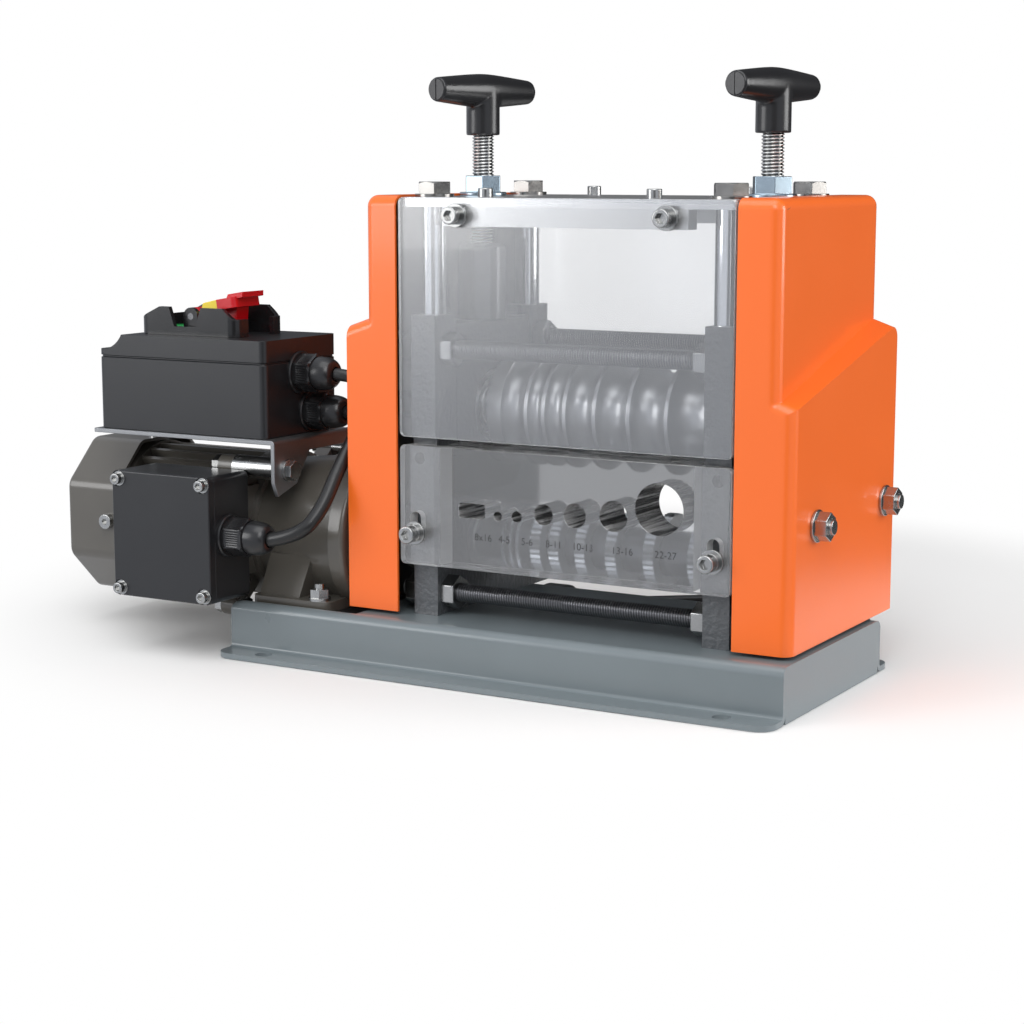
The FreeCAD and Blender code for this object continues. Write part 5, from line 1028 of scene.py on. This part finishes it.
coil_layer = 0.008
coil_points_a_turn = 24


def coil_route(turn):
    """The coil's line by turns: radius inner + pitch * hypot(turn - half, bend), so it winds in and then out,
    and a smooth step up by one layer in the half turn where it reverses. It starts at the back and runs
    clockwise."""
    past = turn - coil_turns / 2
    radius = coil_inner + coil_pitch * np.hypot(past, coil_bend)
    climb = np.clip(past / coil_climb + 1 / 2, 0, 1)
    angle = np.pi / 2 - 2 * np.pi * turn
    return np.stack([coil_middle[0] + radius * np.cos(angle), coil_middle[1] + radius * np.sin(angle),
                     coil_floor + coil_layer * climb ** 2 * (3 - 2 * climb)], axis=-1)


coil = coil_route(np.linspace(0, coil_turns, int(coil_turns * coil_points_a_turn) + 1))
mains_cord = cord_curve("rubber_mains_cord", np.vstack([lead_route, coil, tail_route]), mains_cord_radius)
settle(mains_cord, "mains_lead", rubber, standing_for=("mains_lead", "mains_coil"))


# Mains plug
# A moulded black plug with a ribbed grip, three flat brass pins, and a tapered strain relief with notches
# that lets the cord bend where it leaves.
relief_length = 0.022
relief_radii = (0.006, 0.0043)
relief_notches = 6
relief_rows = 91
notch_share = 0.12
notch_wave = 0.3
notch_span = (0.1, 0.95)
plug_length = 0.03
plug_wide = 0.014
plug_high = 0.01
plug_rows = 61
neck_wide = 0.0075
neck_high = 0.0063
neck_from = 0.45
plug_floor = 0.0002
face_edge = 0.0008
face_edge_length = 0.001
grip_depth = 0.0005
grip_pitch = 0.0026
grip_span = (0.12, 0.6)
box_power = 4.0
round_power = 2.0
pin_length = 0.015
pin_half_wide = 0.003
pin_half_thick = 0.00075
pin_spread = 0.0065
pin_level = 0.01
pin_tip_length = 0.0006
pin_tip_share = 0.6
pin_in_face = 0.001
pin_power = 8.0
earth_level = 0.01575
brass_yellow = (0.72, 0.56, 0.26, 1)
brass = finish("brass", brass_yellow, 0.25, metallic=1.0, values={"Size": 0.001, "Blotch": 0.004}, bump=0.08)


def rounded_sections(along, middle, half_wide, half_high, power, sides=64):
    """Rows of rounded boxes across X, each |y / wide| ** power + |z / high| ** power = 1 about its middle."""
    columns = (along, half_wide, half_high, power)
    along, half_wide, half_high, power = (np.asarray(a, float)[:, None] for a in columns)
    angle = np.linspace(0, 2 * np.pi, sides, endpoint=False)
    size = (np.abs(np.cos(angle)) ** power + np.abs(np.sin(angle)) ** power) ** (-1 / power)
    y = middle[0] + half_wide * np.cos(angle) * size
    z = np.asarray(middle[1], float).reshape(-1, 1) + half_high * np.sin(angle) * size
    return np.stack([np.broadcast_to(along, y.shape), y, z], axis=-1)


tip = tail_route[-1]
face = tip[0] - relief_length - plug_length
share = np.linspace(0, 1, plug_rows)
ease = np.clip((share - neck_from) / (1 - neck_from), 0, 1)
ease = ease ** 2 * (3 - 2 * ease)
wave = 0.5 - 0.5 * np.cos(2 * np.pi * share * plug_length / grip_pitch)
grip = grip_depth * wave * (share > grip_span[0]) * (share < grip_span[1])
rounded = face_edge * np.clip(1 - share * plug_length / face_edge_length, 0, 1)
wide = plug_wide + (neck_wide - plug_wide) * ease - grip - rounded
high = plug_high + (neck_high - plug_high) * ease - rounded
neck = np.linspace(0, 1, relief_rows)[1:]
in_relief = (neck > notch_span[0]) * (neck < notch_span[1])
notch = notch_share * (np.cos(2 * np.pi * relief_notches * neck) > notch_wave) * in_relief
taper = relief_radii[0] + (relief_radii[1] - relief_radii[0]) * neck
radius = taper * (1 - notch)
along = np.concatenate([face + plug_length * share, tip[0] - relief_length * (1 - neck)])
levels = np.concatenate([plug_floor + high, plug_floor + taper])
powers = np.concatenate([box_power + (round_power - box_power) * ease, np.full(len(neck), round_power)])
plug_points = rounded_sections(along, (tip[1], levels), np.concatenate([wide, radius]),
                               np.concatenate([high, radius]), powers)
plug = settle(add_object("moulded_plug", ring_surface("moulded_plug", plug_points)), "mains_plug", nylon)
pin_along = face + np.array([-pin_length, -pin_length + pin_tip_length, pin_in_face])
pin_taper = np.array([pin_tip_share, 1.0, 1.0])
pins = []
for y, z, half_wide, half_high in ((-pin_spread, pin_level, pin_half_thick, pin_half_wide),
                                   (pin_spread, pin_level, pin_half_thick, pin_half_wide),
                                   (0, earth_level, pin_half_wide, pin_half_thick)):
    pin_points = rounded_sections(pin_along, (tip[1] + y, z), half_wide * pin_taper, half_high * pin_taper,
                                  np.full(3, pin_power))
    pins.append(ring_surface("pin", pin_points))
plug_pins = settle(add_object("plug_pins", joined("plug_pins", pins)), "mains_plug", brass, standing_for=(),
                   slot="bright_steel")
